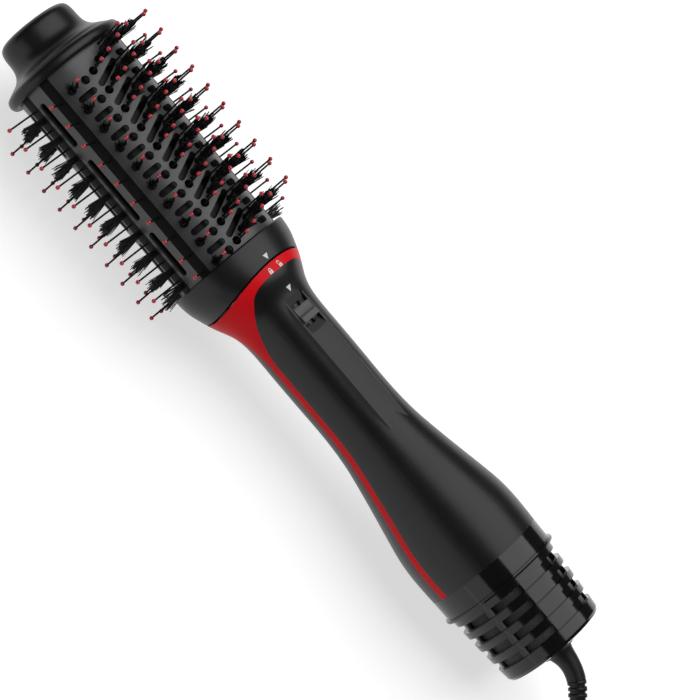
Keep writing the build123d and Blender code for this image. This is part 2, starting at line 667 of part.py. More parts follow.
# ---------------------------------------------------------------- handle shells
def stripe_zone():
    """Region between the shells: a ring under the collar that narrows to the side stripes."""
    start = COLLAR_START + 7
    rim = BARREL_FRONT + 8.2
    web = BARREL_FRONT + 2.7
    curve = [(19.0, web), (25.7, web - 10.6), (33.0, web - 17.3), (43.0, web - 22.1),
             (55.0, STRIPE_HALF)]
    upper = [Vector(-COLLAR_START - s, 0, z) for s, z in curve]
    lower = [Vector(-COLLAR_START - s, 0, -z) for s, z in curve]
    end = HANDLE_END + 1
    above, below = Vector(upper[0].X, 0, rim), Vector(lower[0].X, 0, -rim)
    edges = [Edge.make_line(Vector(-start, 0, rim), above),
             Edge.make_line(above, upper[0]),
             Edge.make_spline(upper, tangents=[Vector(-0.15, 0, -1), Vector(-1, 0, 0)]),
             Edge.make_line(upper[-1], Vector(-end, 0, STRIPE_HALF)),
             Edge.make_line(Vector(-end, 0, STRIPE_HALF), Vector(-end, 0, -STRIPE_HALF)),
             Edge.make_line(Vector(-end, 0, -STRIPE_HALF), lower[-1]),
             Edge.make_spline(lower[::-1], tangents=[Vector(1, 0, 0), Vector(0.15, 0, -1)]),
             Edge.make_line(lower[0], below),
             Edge.make_line(below, Vector(-start, 0, -rim)),
             Edge.make_line(Vector(-start, 0, -rim), Vector(-start, 0, rim))]
    face = Face(Wire(edges))
    slab = Solid.extrude(face, Vector(0, 100, 0))
    return Pos(0, -50, 0) * as_part(slab)


STRIPE_ZONE = stripe_zone()


def handle_skin():
    return OUTER - INNER - parting_tool(PARTING_SIDE + PARTING_GAP)


SKIN = common(handle_skin(), block(COLLAR_START + 7, HANDLE_END, -60, 60, -60, 60))


def red_trim():
    """Ring under the collar and the two side stripes, one moulded frame."""
    return common(SKIN, STRIPE_ZONE)


def half_space(direction):
    return block(COLLAR_START + 7, HANDLE_END + 2, -60, 60, *((0, 60) if direction > 0 else (-60, 0)))


def shell_ribs():
    """Rings inside the shells: one behind the spigot's flange, two round the heater sleeve."""
    ribs = [ring(FLANGE_END + 0.1, FLANGE_END + 1.8, 26, SPIGOT_RADIUS + 0.1)]
    for s in (HEATER_START + 8, HEATER_END - 7):
        ribs.append(ring(s, s + 2, 26, SLEEVE_OUTER + FIT))
    return joined(ribs)


def shell_bosses(direction):
    bosses = []
    for s, y in SHELL_SCREWS:
        for side in (-1, 1):
            z0, z1 = (0, 60) if direction > 0 else (-60, 0)
            bosses.append(post(s, side * y, z0, z1, SHELL_BOSS))
    return bosses


def front_panel():
    """Raised flat panel along the grip with sloping edges."""
    s0, s1 = COLLAR_START + 23, HEATER_END - 2
    side = PAD_TOP - 2.1
    outline = [(-PAD_HALF, 10), (-PAD_HALF, side), (-PAD_HALF + 1.6, PAD_TOP - 0.25),
               (0, PAD_TOP), (PAD_HALF - 1.6, PAD_TOP - 0.25), (PAD_HALF, side), (PAD_HALF, 10)]
    pts = [Vector(-s0, y, z) for y, z in outline]
    edges = [Edge.make_line(pts[0], pts[1]), Edge.make_line(pts[1], pts[2]),
             Edge.make_three_point_arc(pts[2], pts[3], pts[4]), Edge.make_line(pts[4], pts[5]),
             Edge.make_line(pts[5], pts[6]), Edge.make_line(pts[6], pts[0])]
    return as_part(Solid.extrude(Face(Wire(edges)), Vector(-(s1 - s0), 0, 0)))


def switch_recess():
    """Dished recess: a flat floor that ramps up to the panel at both ends."""
    outline = [(SWITCH_START, PAD_TOP), (SWITCH_START + SWITCH_RAMP, SWITCH_FLOOR),
               (SWITCH_END - SWITCH_RAMP, SWITCH_FLOOR), (SWITCH_END, PAD_TOP),
               (SWITCH_END, 30), (SWITCH_START, 30)]
    pts = [Vector(-s, SWITCH_HALF, z) for s, z in outline]
    profile = Face(Wire(Edge.make_line(a, b) for a, b in zip(pts, pts[1:] + pts[:1])))
    return as_part(Solid.extrude(profile, Vector(0, -2 * SWITCH_HALF, 0)))


def front_shell():
    shell = common(SKIN - STRIPE_ZONE, half_space(1))
    shell += front_panel() - INNER
    inside = joined(shell_bosses(1) + [common(shell_ribs(), half_space(1))])
    inside += block(SPIGOT_END + 0.3, SWITCH_END + 4, -7.4, 7.4, SWITCH_SEAT, 22)
    for y in (-7.0, 7.0):
        inside += post(BOARD_END - 4, y, BOARD_TOP, 25, 2.3)
    inside = common(inside, INNER)
    shell += inside
    shell -= switch_recess()
    slot_half = 2.0 + KNOB_TRAVEL + 0.3
    middle = (KNOB_START + KNOB_END) / 2
    shell -= block(middle - slot_half, middle + slot_half, -1.7, 1.7, 15, 30)
    for s, y in SHELL_SCREWS:
        for side in (-1, 1):
            shell -= post(s, side * y, -1, 9, 1.3)
    for y in (-7.0, 7.0):
        shell -= post(BOARD_END - 4, y, BOARD_TOP - 1, BOARD_TOP + 6, 0.95)
    return shell


def rear_shell():
    shell = common(SKIN - STRIPE_ZONE, half_space(-1))
    ribs = common(shell_ribs(), half_space(-1))
    inside = common(joined(shell_bosses(-1) + [ribs]), INNER)
    shell += inside
    for s, y in SHELL_SCREWS:
        for side in (-1, 1):
            shell -= post(s, side * y, -20, 1, 1.5)
            shell -= post(s, side * y, -40, SCREW_SEAT, 2.8)
    return shell


def shell_screws():
    """Four screws from the back of the handle, heads in their counterbores."""
    screws = []
    for s, y in SHELL_SCREWS:
        for side in (-1, 1):
            screws.append(Pos(-s, side * y, SCREW_SEAT) * Rot(180, 0, 0) * screw(13, 2.5, 2.5, 2.0))
    return as_group(screws)


# ---------------------------------------------------------------- switch
def scoop(s0, s1):
    """Shallow finger hollow across the knob's lower half."""
    radius, depth = 6.0, 0.35
    return Pos(-(s0 + s1) / 2, 0, PAD_TOP + 0.45 + radius - depth) * Rot(90, 0, 0) * Cylinder(radius, 12)


def switch_slider():
    middle = (KNOB_START + KNOB_END) / 2
    knob = block(KNOB_START, KNOB_END, -5.1, 5.1, KNOB_BOTTOM, PAD_TOP + 1.2)
    knob -= block(KNOB_START - 1, middle - 0.2, -6, 6, PAD_TOP + 0.45, 30)
    knob -= block(middle - 0.6, middle - 0.1, -6, 6, KNOB_BOTTOM + 0.6, 30)
    knob -= scoop(KNOB_START, middle - 0.6)
    stem = block(middle - 2, middle + 2, -1.55, 1.55, SWITCH_SEAT - 0.5, KNOB_BOTTOM + 0.3)
    foot = block(middle - 6.5, middle + 6.5, -4, 4, SWITCH_SEAT - 1.3, SWITCH_SEAT - 0.1)
    tongue = block(middle - 1.5, middle + 1.5, -1.2, 1.2, 11.6, SWITCH_SEAT - 0.5)
    return knob + stem + foot + tongue


def switch_body():
    middle = (KNOB_START + KNOB_END) / 2
    reach = 1.5 + KNOB_TRAVEL + 0.3
    body = block(middle - 7.6, middle + 7.6, -5, 5, BOARD_TOP, SWITCH_SEAT - 1.6)
    return body - block(middle - reach, middle + reach, -1.4, 1.4, 11.4, 20)


def control_board():
    board = block(BOARD_START, BOARD_END, -10, 10, BOARD_BOTTOM, BOARD_TOP)
    for y in (-7.0, 7.0):
        board -= post(BOARD_END - 4, y, 0, 20, 1.3)
    return board


def board_screws():
    return as_group([Pos(-(BOARD_END - 4), y, BOARD_BOTTOM) * Rot(180, 0, 0)
                     * screw(6.5, 1.8, 1.8, 1.4) for y in (-7.0, 7.0)])


# ---------------------------------------------------------------- heater
def heater_sleeve():
    return ring(HEATER_START + 6, HEATER_END - 3, SLEEVE_OUTER, SLEEVE_INNER)


def wire_loop(s, thickness):
    return Pos(-s, 0, 0) * Rot(0, 90, 0) * Torus(WIRE_RADIUS, thickness / 2)


def wire_stations():
    first, last = HEATER_START + 12, HEATER_END - 8
    return [first + i * (last - first) / (WIRE_TURNS - 1) for i in range(WIRE_TURNS)]


def heater_frame():
    s0, s1 = HEATER_START + 7, HEATER_END - 4
    cross = block(s0, s1, -20, 20, -MICA / 2, MICA / 2)
    cross += block(s0, s1, -MICA / 2, MICA / 2, -20, 20)
    cross = common(cross, rod(s0, s1, SLEEVE_INNER - FIT))
    return cross - [wire_loop(s, WIRE_THICKNESS + 0.1) for s in wire_stations()]


def heater_wire():
    return as_group([wire_loop(s, WIRE_THICKNESS) for s in wire_stations()])


def thermal_fuse():
    fuse = rod(HEATER_END - 24, HEATER_END - 12, 1.9)
    offset = MICA / 2 + 1.9
    return Pos(0, offset, offset) * fuse


# ---------------------------------------------------------------- fan and motor
def fan_duct():
    """Ring with five vanes that carries the motor can."""
    duct = ring(DUCT_START, DUCT_END, BELL_RADIUS - 2.8, BELL_RADIUS - 4.6)
    duct += ring(DUCT_START + 2, DUCT_END - 1, CAN_RADIUS + 1.6, CAN_RADIUS)
    vanes = []
    for i in range(5):
        vane = block(DUCT_START + 3, DUCT_END - 3, -0.8, 0.8, CAN_RADIUS + 0.8, BELL_RADIUS - 3.8)
        vanes.append(Rot(72 * i, 0, 0) * vane)
    return joined([duct] + vanes)


def motor_can():
    can = rod(CAN_START, CAN_END, CAN_RADIUS) - rod(CAN_START + 1.2, CAN_END - 1.2, CAN_RADIUS - 1.2)
    can += ring(CAN_END - 1.2, CAN_END + 1.2, 3.4, 1)
    return can - rod(CAN_START + 1, CAN_END + 5, SHAFT_RADIUS + 0.05)


def motor_magnets():
    return as_group([sector(CAN_START + 4, CAN_END - 4, CAN_RADIUS - 1.25, CAN_RADIUS - 3.2,
                            base - 60, base + 60) for base in (90, 270)])


def motor_rotor():
    """Slotted armature on the fan's shaft."""
    core = ring(CAN_START + 5, CAN_END - 5, CAN_RADIUS - 3.7, SHAFT_RADIUS)
    slots = [Rot(60 * i, 0, 0) * block(CAN_START, CAN_END, -0.8, 0.8, 5.2, 12) for i in range(6)]
    return core - slots


def motor_shaft():
    return rod(CAN_START + 1.4, FAN_END - 0.5, SHAFT_RADIUS)


def fan_impeller():
    hub = ring(FAN_START, FAN_END, 7.0, SHAFT_RADIUS)
    blades = []
    for i in range(FAN_BLADES):
        blade = Box(FAN_LENGTH + 0.1, 1.2, FAN_RADIUS - 6)
        blades.append(Rot(360 / FAN_BLADES * i, 0, 0)
                      * Pos(-(FAN_START + FAN_END) / 2, 0, FAN_RADIUS / 2 + 3.1)
                      * Rot(0, 0, 38) * blade)
    wheel = joined([hub] + blades)
    return common(wheel, rod(FAN_START, FAN_END, FAN_RADIUS))


# ---------------------------------------------------------------- air intake
def grooves():
    """Start, end and floor radius of each groove round the grille."""
    starts = [GROOVE_START + i * GROOVE_PITCH for i in range(GROOVE_COUNT)]
    return [(s, s + GROOVE_WIDTH, radius) for s, radius in zip(starts, GROOVE_RADII)]


def vent_cap():
    """Glossy end cap with a ribbed grille, windows in its grooves and a swivel opening."""
    bell = BELL_RADIUS
    outline = [(0, HANDLE_END), (bell + 0.1, HANDLE_END), (bell - 0.1, VENT_BAND),
               (bell + 1.1, VENT_BAND + 0.2), (bell + 1.4, VENT_BAND + 1.0),
               (bell + 1.1, VENT_FLANGE - 0.2), (bell - 1.1, VENT_FLANGE),
               (bell - 1.3, VENT_FLANGE + 3.0), (bell - 1.6, VENT_FLANGE + 10.0),
               (bell - 2.0, VENT_FLANGE + 17.5), (bell - 2.7, VENT_FLANGE + 25.6),
               (bell - 3.1, VENT_END - 8.0), (bell - 3.6, VENT_END - 2.4),
               (bell - 4.6, VENT_END - 0.8), (bell - 7.8, VENT_END), (0, VENT_END)]
    pts = [Vector(-s, 0, r) for r, s in outline]
    profile = Face(Wire(Edge.make_line(a, b) for a, b in zip(pts, pts[1:] + pts[:1])))
    body = as_part(Solid.revolve(profile, 360, Axis.X))
    for s0, s1, radius in grooves():
        body -= ring(s0, s1, 40, radius)
    body += ring(HANDLE_END - 6.5, HANDLE_END, bell - 2.7, bell - 4.4)
    body -= rod(HANDLE_END - 8, VENT_FLANGE, bell - 4.4)
    body -= rod(VENT_FLANGE - 1, VENT_END - 4, FAN_RADIUS)
    spread = 360 - FRONT_COLUMN
    bar = (spread - WINDOW_COUNT * WINDOW_ANGLE) / (WINDOW_COUNT - 1)
    starts = [FRONT_COLUMN / 2 + i * (WINDOW_ANGLE + bar) for i in range(WINDOW_COUNT)]
    for s0, s1, radius in grooves():
        body -= [sector(s0 + 0.2, s1 - 0.2, 40, 20, a, a + WINDOW_ANGLE) for a in starts]
    return body - rod(VENT_END - 5, VENT_END + 1, SWIVEL_NECK + SWIVEL_CLEARANCE)


def filter_mesh():
    return ring(VENT_FLANGE + 1, VENT_END - 4.5, FAN_RADIUS - 0.1, FAN_RADIUS - 0.5)


# ---------------------------------------------------------------- swivel and lead
def cord_swivel():
    """Turning disc with a neck through the end wall and a flange inside it."""
    disc = rod(SWIVEL_START, BOOT_START, SWIVEL_RADIUS)
    disc = fillet(disc.edges().group_by(Axis.X)[0], 0.8)
    neck = rod(VENT_END - 4.5, SWIVEL_START + 1, SWIVEL_NECK)
    flange = rod(VENT_END - 6.3, VENT_END - 4.3, SWIVEL_RADIUS)
    return disc + neck + flange


def boot_directions():
    """Unit vectors of the boot: out of the brush, sideways lean and after the bend."""
    drop = radians(BOOT_DROP)
    lean = Vector(0, cos(drop), -sin(drop))
    bend = radians(BOOT_BEND)
    return lean, Vector(-cos(bend), 0, 0) + lean * sin(bend)


def boot_points():
    """Start and end of the boot's bend, and its tail end, from the brush's axis."""
    lean, out = boot_directions()
    bend = radians(BOOT_BEND)
    start = Vector(-BOOT_START - BOOT_STRAIGHT, 0, 0)
    end = start + Vector(-sin(bend), 0, 0) * BOOT_BEND_RADIUS + lean * BOOT_BEND_RADIUS * (1 - cos(bend))
    return start, end, end + out * BOOT_TAIL


def strain_relief():
    lean, out = boot_directions()
    start, end, tail = boot_points()
    neck = rod(BOOT_START, BOOT_START + BOOT_STRAIGHT, BOOT_NECK)
    arc = Edge.make_three_point_arc(start, *bend_middle(start, lean), end)
    section = Face(Wire([Edge.make_circle(BOOT_RADIUS, Plane(origin=start, z_dir=(-1, 0, 0)))]))
    bend = Solid.sweep(section, arc)
    ribs = []
    core = Plane(origin=end, z_dir=out) * Pos(0, 0, BOOT_TAIL / 2) * Cylinder(BOOT_CORE, BOOT_TAIL)
    for i in range(BOOT_RIBS):
        at = 3.0 + i * (BOOT_TAIL - 6.0) / (BOOT_RIBS - 1)
        radius = BOOT_RADIUS - BOOT_TAPER * at
        ribs.append(Plane(origin=end, z_dir=out) * Pos(0, 0, at) * Cylinder(radius, 1.5))
    return joined([neck, as_part(bend), core] + ribs)


def bend_middle(start, lean):
    half = radians(BOOT_BEND / 2)
    offset = Vector(-sin(half), 0, 0) * BOOT_BEND_RADIUS + lean * BOOT_BEND_RADIUS * (1 - cos(half))
    return [start + offset]


CORD_RADIUS = CORD_DIAMETER / 2
FLOOR = CORD_RADIUS + 0.05      # height of a cord's centre where it lies on the table
COIL_SIDE = COIL_CENTRE[1] + COIL_MEAN / 2 + CORD_DIAMETER * (COIL_COLUMNS - 1) / 2


def lead_points():
    """Route of the lead from the boot to the coil, chosen by hand, on the table at its end."""
    lean, out = boot_directions()
    tail = boot_points()[2] + Vector(TIP_X, 0, AXIS_Z)
    return [tail, tail + out * 17, Vector(-264.0, 38.5, 14.2), Vector(-281.0, 43.0, 8.2),
            Vector(-299.0, COIL_SIDE - 0.3, FLOOR), Vector(COIL_CENTRE[0], COIL_SIDE, FLOOR)]


def tail_points():
    """Short stretch from the top of the coil to the plug's own strain relief."""
    x, y = PLUG_PLACE
    top = FLOOR + CORD_DIAMETER * (COIL_LAYERS - 1)
    return [Vector(COIL_CENTRE[0] + 2, COIL_SIDE, top), Vector(x + 18, y, PLUG_HEIGHT / 2),
            Vector(x, y, PLUG_HEIGHT / 2)]


def cord_tube(points):
    radii = []
    for a, b, c in zip(points, points[1:], points[2:]):
        turn = (b - a).get_angle(c - b)
        shorter = min((b - a).length, (c - b).length)
        radii.append(0.45 * shorter / tan(radians(turn / 2)))
    print("cord radii", [round(r, 1) for r in radii])
    path = FilletPolyline(*points, radius=radii)
    start = Plane(origin=points[0], z_dir=(points[1] - points[0]))
    tube = Solid.sweep(Face(Wire([Edge.make_circle(CORD_RADIUS, start)])), path.wire())
    length = path.wire().length
    print("cord run", round(length, 1), "volume ratio",
          round(tube.volume / (length * pi * CORD_RADIUS ** 2), 4))
    return as_part(tube)


def cord_coil():
    outer = COIL_MEAN / 2 + CORD_DIAMETER * COIL_COLUMNS / 2
    inner = COIL_MEAN / 2 - CORD_DIAMETER * COIL_COLUMNS / 2
    height = CORD_DIAMETER * COIL_LAYERS
    x, y = COIL_CENTRE
    body = Pos(x, y, height / 2) * (Cylinder(outer, height) - Cylinder(inner, height + 2))
    return fillet(body.edges(), 2.5)


# the plug's pieces are made with the cord's entry at their origin and the blades towards +X
def in_plug(shape):
    return Pos(PLUG_PLACE[0], PLUG_PLACE[1], PLUG_HEIGHT / 2) * Rot(0, 0, 180) * shape


def plug_housing():
    body = Box(PLUG_LENGTH, PLUG_WIDTH, PLUG_HEIGHT)
    body = Pos(PLUG_BOOT + PLUG_LENGTH / 2, 0, 0) * fillet(body.edges().filter_by(Axis.X), 5.0)
    for offset in BUTTON_PLACES.values():
        well = Box(BUTTON[0] + 0.3, BUTTON[1] + 0.3, 6.2)
        body -= Pos(PLUG_BOOT + offset, 0, PLUG_HEIGHT / 2 - 3.0) * well
    for side in (-1, 1):
        pocket = Box(8.0, BLADE_THICKNESS, BLADE_WIDTH + 0.05)
        body -= Pos(PLUG_BOOT + PLUG_LENGTH - 3.95, side * BLADE_SPACING / 2, 0) * pocket
    return in_plug(body)


def plug_button(name):
    height = 5.0
    cap = Box(BUTTON[0], BUTTON[1], height)
    cap = fillet(cap.edges().group_by(Axis.Z)[-1], 0.6)
    bottom = PLUG_HEIGHT / 2 - 6.1 + BUTTON_TRAVEL + 0.1
    return in_plug(Pos(PLUG_BOOT + BUTTON_PLACES[name], 0, bottom + height / 2) * cap)


def plug_blades():
    """Two flat blades with rounded corners at their ends."""
    blades = []
    for side in (-1, 1):
        blade = Box(BLADE_LENGTH, BLADE_THICKNESS, BLADE_WIDTH)
        corners = blade.edges().filter_by(Axis.Y).group_by(Axis.X)[-1]
        blade = fillet(corners, 2.0)
        blades.append(in_plug(Pos(PLUG_BOOT + PLUG_LENGTH - 7.95 + BLADE_LENGTH / 2,
                                  side * BLADE_SPACING / 2, 0) * blade))
    return as_group(blades)


def plug_strain_relief():
    cone = Cone(CORD_RADIUS + 1.1, CORD_RADIUS + 2.9, PLUG_BOOT)
    return in_plug(Pos(PLUG_BOOT / 2, 0, 0) * Rot(0, 90, 0) * cone)


# ---------------------------------------------------------------- run
def write(name, shape, place=None):
    place = place if place is not None else Pos(TIP_X, 0, AXIS_Z)
    export_step(place * shape, f"parts/{name}.step", write_pcurves=False)


def main():
    os.makedirs("parts", exist_ok=True)
    write("barrel_shell", barrel_shell())
    for face, direction in FACE_DIRECTIONS.items():
        write(f"{face}_pin_frame", pin_frame(direction))
        write(f"{face}_tufts", face_tufts(direction))
        write(f"{face}_pin_tips", face_tips(direction))
    for name in rail_angles():
        write(name, rail(name))
    write("side_tufts", side_tufts())
    for side in ("left", "right"):
        write(f"{side}_pin_tips", rail_tips(side))
    write("cool_tip_cap", cool_tip_cap())
    write("tip_baffle", tip_baffle())
    write("tip_screw", tip_screw())
    write("frame_screws", frame_screws())
    write("collar", collar())
    write("head_socket", head_socket())
    write("lock_ring", lock_ring())
    write("retaining_clip", retaining_clip())
    write("spigot", spigot())
    for make in (red_trim, front_shell, rear_shell, shell_screws, switch_slider, switch_body,
                 control_board, board_screws, heater_sleeve, heater_frame, heater_wire, thermal_fuse,
                 fan_duct, motor_can, motor_magnets, motor_rotor, motor_shaft, fan_impeller,
                 vent_cap, filter_mesh, cord_swivel, strain_relief):
        write(make.__name__, make())
    here = Pos(0, 0, 0)
    write("cord_lead", cord_tube(lead_points()), here)
    write("cord_coil", cord_coil(), here)
    write("cord_tail", cord_tube(tail_points()), here)
    write("plug_housing", plug_housing(), here)
    for name in BUTTON_PLACES:
        write(name, plug_button(name), here)
    write("plug_blades", plug_blades(), here)
    write("plug_strain_relief", plug_strain_relief(), here)


main()
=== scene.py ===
"""Hot air brush: finishes, bristles, printed marks, boot and cord, on the brush's solid model."""
import json
import math
import bmesh
import bpy
from mathutils import Matrix, Vector
from mathutils.bvhtree import BVHTree


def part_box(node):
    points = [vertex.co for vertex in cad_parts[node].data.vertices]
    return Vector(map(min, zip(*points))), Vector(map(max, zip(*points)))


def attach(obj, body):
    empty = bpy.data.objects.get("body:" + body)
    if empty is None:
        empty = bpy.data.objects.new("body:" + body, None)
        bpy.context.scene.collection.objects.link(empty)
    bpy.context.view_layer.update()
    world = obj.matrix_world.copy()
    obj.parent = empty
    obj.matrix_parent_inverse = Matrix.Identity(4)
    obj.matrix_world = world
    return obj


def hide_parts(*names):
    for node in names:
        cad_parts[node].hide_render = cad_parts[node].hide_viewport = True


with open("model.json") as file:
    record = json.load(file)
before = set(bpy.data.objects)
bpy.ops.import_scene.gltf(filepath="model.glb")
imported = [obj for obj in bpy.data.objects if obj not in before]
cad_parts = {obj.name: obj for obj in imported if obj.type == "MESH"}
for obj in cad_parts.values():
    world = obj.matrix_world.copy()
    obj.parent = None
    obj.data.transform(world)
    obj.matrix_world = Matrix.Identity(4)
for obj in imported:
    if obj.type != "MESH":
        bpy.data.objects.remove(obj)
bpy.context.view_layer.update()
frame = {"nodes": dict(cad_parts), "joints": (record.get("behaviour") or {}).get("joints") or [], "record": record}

NODES = frame["nodes"]
MM = 0.001
AXIS_Z = next(j["pos_m"][2] for j in frame["joints"] if j["name"] == "fan_spin")
TIP_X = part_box("cool_tip_cap")[1].x


# ---------------------------------------------------------------- sizes, in millimetres
# the oval barrel: two flat arcs and two side arcs that meet at JOIN_ANGLE from the front
BARREL_SIDE = 29.8
BARREL_FRONT = 23.8
JOIN_ANGLE = 40.5

# rows of bristles, counted from the cool tip
ROWS = 10
ROW_PITCH = 11.35
FIRST_ROW = 38.6
ROW_SWEEP = 8.0
SWEEP_HALF = 12.0
TUFT_COLUMNS = (-20.0, 0.0, 6.2, 12.4, 20.0)
SIDE_TUFT_SHIFT = -1.3
LAST_SIDE_TUFT = 139.3
TUFT_ROOT = -0.8
TUFT_PROUD = 13.0

# the boot: a neck, a bend and a ribbed tail
BOOT_START = 384.3
BOOT_STRAIGHT = 4.0
BOOT_BEND = 40.0
BOOT_BEND_RADIUS = 26.0
BOOT_DROP = 34.0            # the bend leans this far below level
BOOT_TAIL = 26.0
BOOT_NECK = 4.35            # radius once the flared foot has narrowed
BOOT_FLARE = 2.15           # how much wider the foot starts
BOOT_FLARE_FADE = 4.5       # distance over which the flare dies away
BOOT_TAPER = 0.35           # how much narrower the tail ends
RIBS = 10
RIB_PITCH = 3.05
RIB_WIDTH = 1.95
RIB_EDGE = 0.35             # how far a rib's rounded edges lie under its crest
RIB_ROUND = 0.3
RIB_CLIMB = 0.02            # length of the step between a rib and its groove
RIBS_BEFORE_TAIL = 5.5      # the ribs start this far before the straight tail
RIB_GROOVE = 3.75           # radius between the ribs

# the cord
CORD_DIAMETER = 7.0
FLOOR = CORD_DIAMETER / 2 + 0.05
COIL_CENTRE = Vector((-322.0, -4.0, 0.0))
COIL_OUTER = 49.0           # radius to the middle of the cord in the outermost turn
COIL_TURNS = 6
POINTS_PER_TURN = 16
CROSSOVER = 0.25            # share of a turn over which the cord moves to the next place
PLUG_ENTRY = Vector((-356.0, 47.5, 12.5))

# printed marks, on a skin of ink
INK = 0.03
MARK_REACH = 80.0           # marks are dropped onto the brush from this far out
ARROW_STATIONS = {"collar": 154.0, "switch": 172.0}
LOCK_STATION = 160.2

# the filter's wire cloth
FILTER_RADIUS = 24.5
WIRE_PITCH = 0.55


# ---------------------------------------------------------------- helpers
def placed(name, data):
    """New object in the scene."""
    item = bpy.data.objects.new(name, data)
    bpy.context.scene.collection.objects.link(item)
    return item


def add(tree, kind, inputs=(), **settings):
    """New node with its settings, and its inputs linked or set."""
    node = tree.nodes.new(kind)
    for key, value in settings.items():
        setattr(node, key, value)
    for key, value in dict(inputs).items():
        if isinstance(value, bpy.types.NodeSocket):
            tree.links.new(value, node.inputs[key])
        else:
            node.inputs[key].default_value = value
    return node


def maths(tree, operation, *values):
    return add(tree, "ShaderNodeMath", enumerate(values), operation=operation).outputs[0]


def new_finish(name):
    """Empty material: its tree, its shader and the object's own coordinates."""
    material = bpy.data.materials.new(name)
    material.use_nodes = True
    tree = material.node_tree
    place = add(tree, "ShaderNodeTexCoord").outputs["Object"]
    return material, tree, tree.nodes["Principled BSDF"], place


def mixed(tree, factor, a, b):
    """Blend of two colours; a Mix node has several sockets called A and B, so they go by place."""
    node = tree.nodes.new("ShaderNodeMix")
    node.data_type = "RGBA"
    for index, value in ((0, factor), (6, a), (7, b)):
        if isinstance(value, bpy.types.NodeSocket):
            tree.links.new(value, node.inputs[index])
        else:
            node.inputs[index].default_value = value
    return node.outputs[2]


def shades(colour, spread):
    """A darker and a lighter version of a colour."""
    return [tuple(c * k for c in colour) + (1.0,) for k in (1 - spread, 1 + spread)]


def between(tree, value, low, high):
    """Spreads a noise value over a range."""
    return add(tree, "ShaderNodeMapRange", {"Value": value, "To Min": low, "To Max": high}).outputs["Result"]


def finish_shader(tree, shader, tone, sheen, bump=None):
    """Links a finish's colour, roughness and relief to its shader."""
    tree.links.new(tone, shader.inputs["Base Color"])
    tree.links.new(sheen, shader.inputs["Roughness"])
    if bump:
        tree.links.new(bump.outputs["Normal"], shader.inputs["Normal"])


# ---------------------------------------------------------------- finishes
def moulded(name, colour, roughness, grain=0.35, relief=0.012, specular=0.5, coat=0.0):
    """Moulded plastic or rubber: fine spark-eroded grain, slightly uneven colour and sheen."""
    material, tree, shader, place = new_finish(name)
    fine = add(tree, "ShaderNodeTexNoise", {"Vector": place, "Scale": 1 / (grain * MM), "Detail": 2.0})
    cloudy = add(tree, "ShaderNodeTexNoise", {"Vector": place, "Scale": 45.0, "Detail": 3.0})
    dark, light = shades(colour, 0.12)
    tone = mixed(tree, cloudy.outputs["Fac"], dark, light)
    sheen = between(tree, cloudy.outputs["Fac"], roughness - 0.05, roughness + 0.05)
    bump = add(tree, "ShaderNodeBump", {"Height": fine.outputs["Fac"], "Distance": relief * MM,
                                        "Strength": 0.7})
    finish_shader(tree, shader, tone, sheen, bump)
    shader.inputs["Specular IOR Level"].default_value = specular
    shader.inputs["Coat Weight"].default_value = coat
    shader.inputs["Coat Roughness"].default_value = 0.08
    return material


def metallic(name, colour, roughness, grain=0.25, stretch=(1, 1, 1)):
    """Bare or plated metal with fine marks, drawn out along the stretched axis."""
    material, tree, shader, place = new_finish(name)
    drawn = add(tree, "ShaderNodeMapping", {"Vector": place, "Scale": stretch})
    marks = add(tree, "ShaderNodeTexNoise", {"Vector": drawn.outputs["Vector"],
                                             "Scale": 1 / (grain * MM), "Detail": 3.0})
    dark, light = shades(colour, 0.1)
    tone = mixed(tree, marks.outputs["Fac"], dark, light)
    sheen = between(tree, marks.outputs["Fac"], roughness - 0.06, roughness + 0.08)
    finish_shader(tree, shader, tone, sheen)
    shader.inputs["Metallic"].default_value = 1.0
    return material


def ceramic_coat(name):
    """Dark grey ceramic coating on the barrel: faint mineral fleck under a satin skin."""
    material, tree, shader, place = new_finish(name)
    fleck = add(tree, "ShaderNodeTexVoronoi", {"Vector": place, "Scale": 2600.0})
    cloudy = add(tree, "ShaderNodeTexNoise", {"Vector": place, "Scale": 60.0, "Detail": 4.0})
    spots = add(tree, "ShaderNodeMapRange", {"Value": fleck.outputs["Distance"],
                                             "From Min": 0.0, "From Max": 0.35})
    base = mixed(tree, cloudy.outputs["Fac"], (0.058, 0.058, 0.060, 1), (0.070, 0.070, 0.072, 1))
    tone = mixed(tree, spots.outputs["Result"], (0.095, 0.095, 0.1, 1), base)
    sheen = between(tree, cloudy.outputs["Fac"], 0.30, 0.38)
    bump = add(tree, "ShaderNodeBump", {"Height": fleck.outputs["Distance"],
                                        "Distance": 0.004 * MM, "Strength": 0.5})
    finish_shader(tree, shader, tone, sheen, bump)
    shader.inputs["Metallic"].default_value = 0.25
    return material


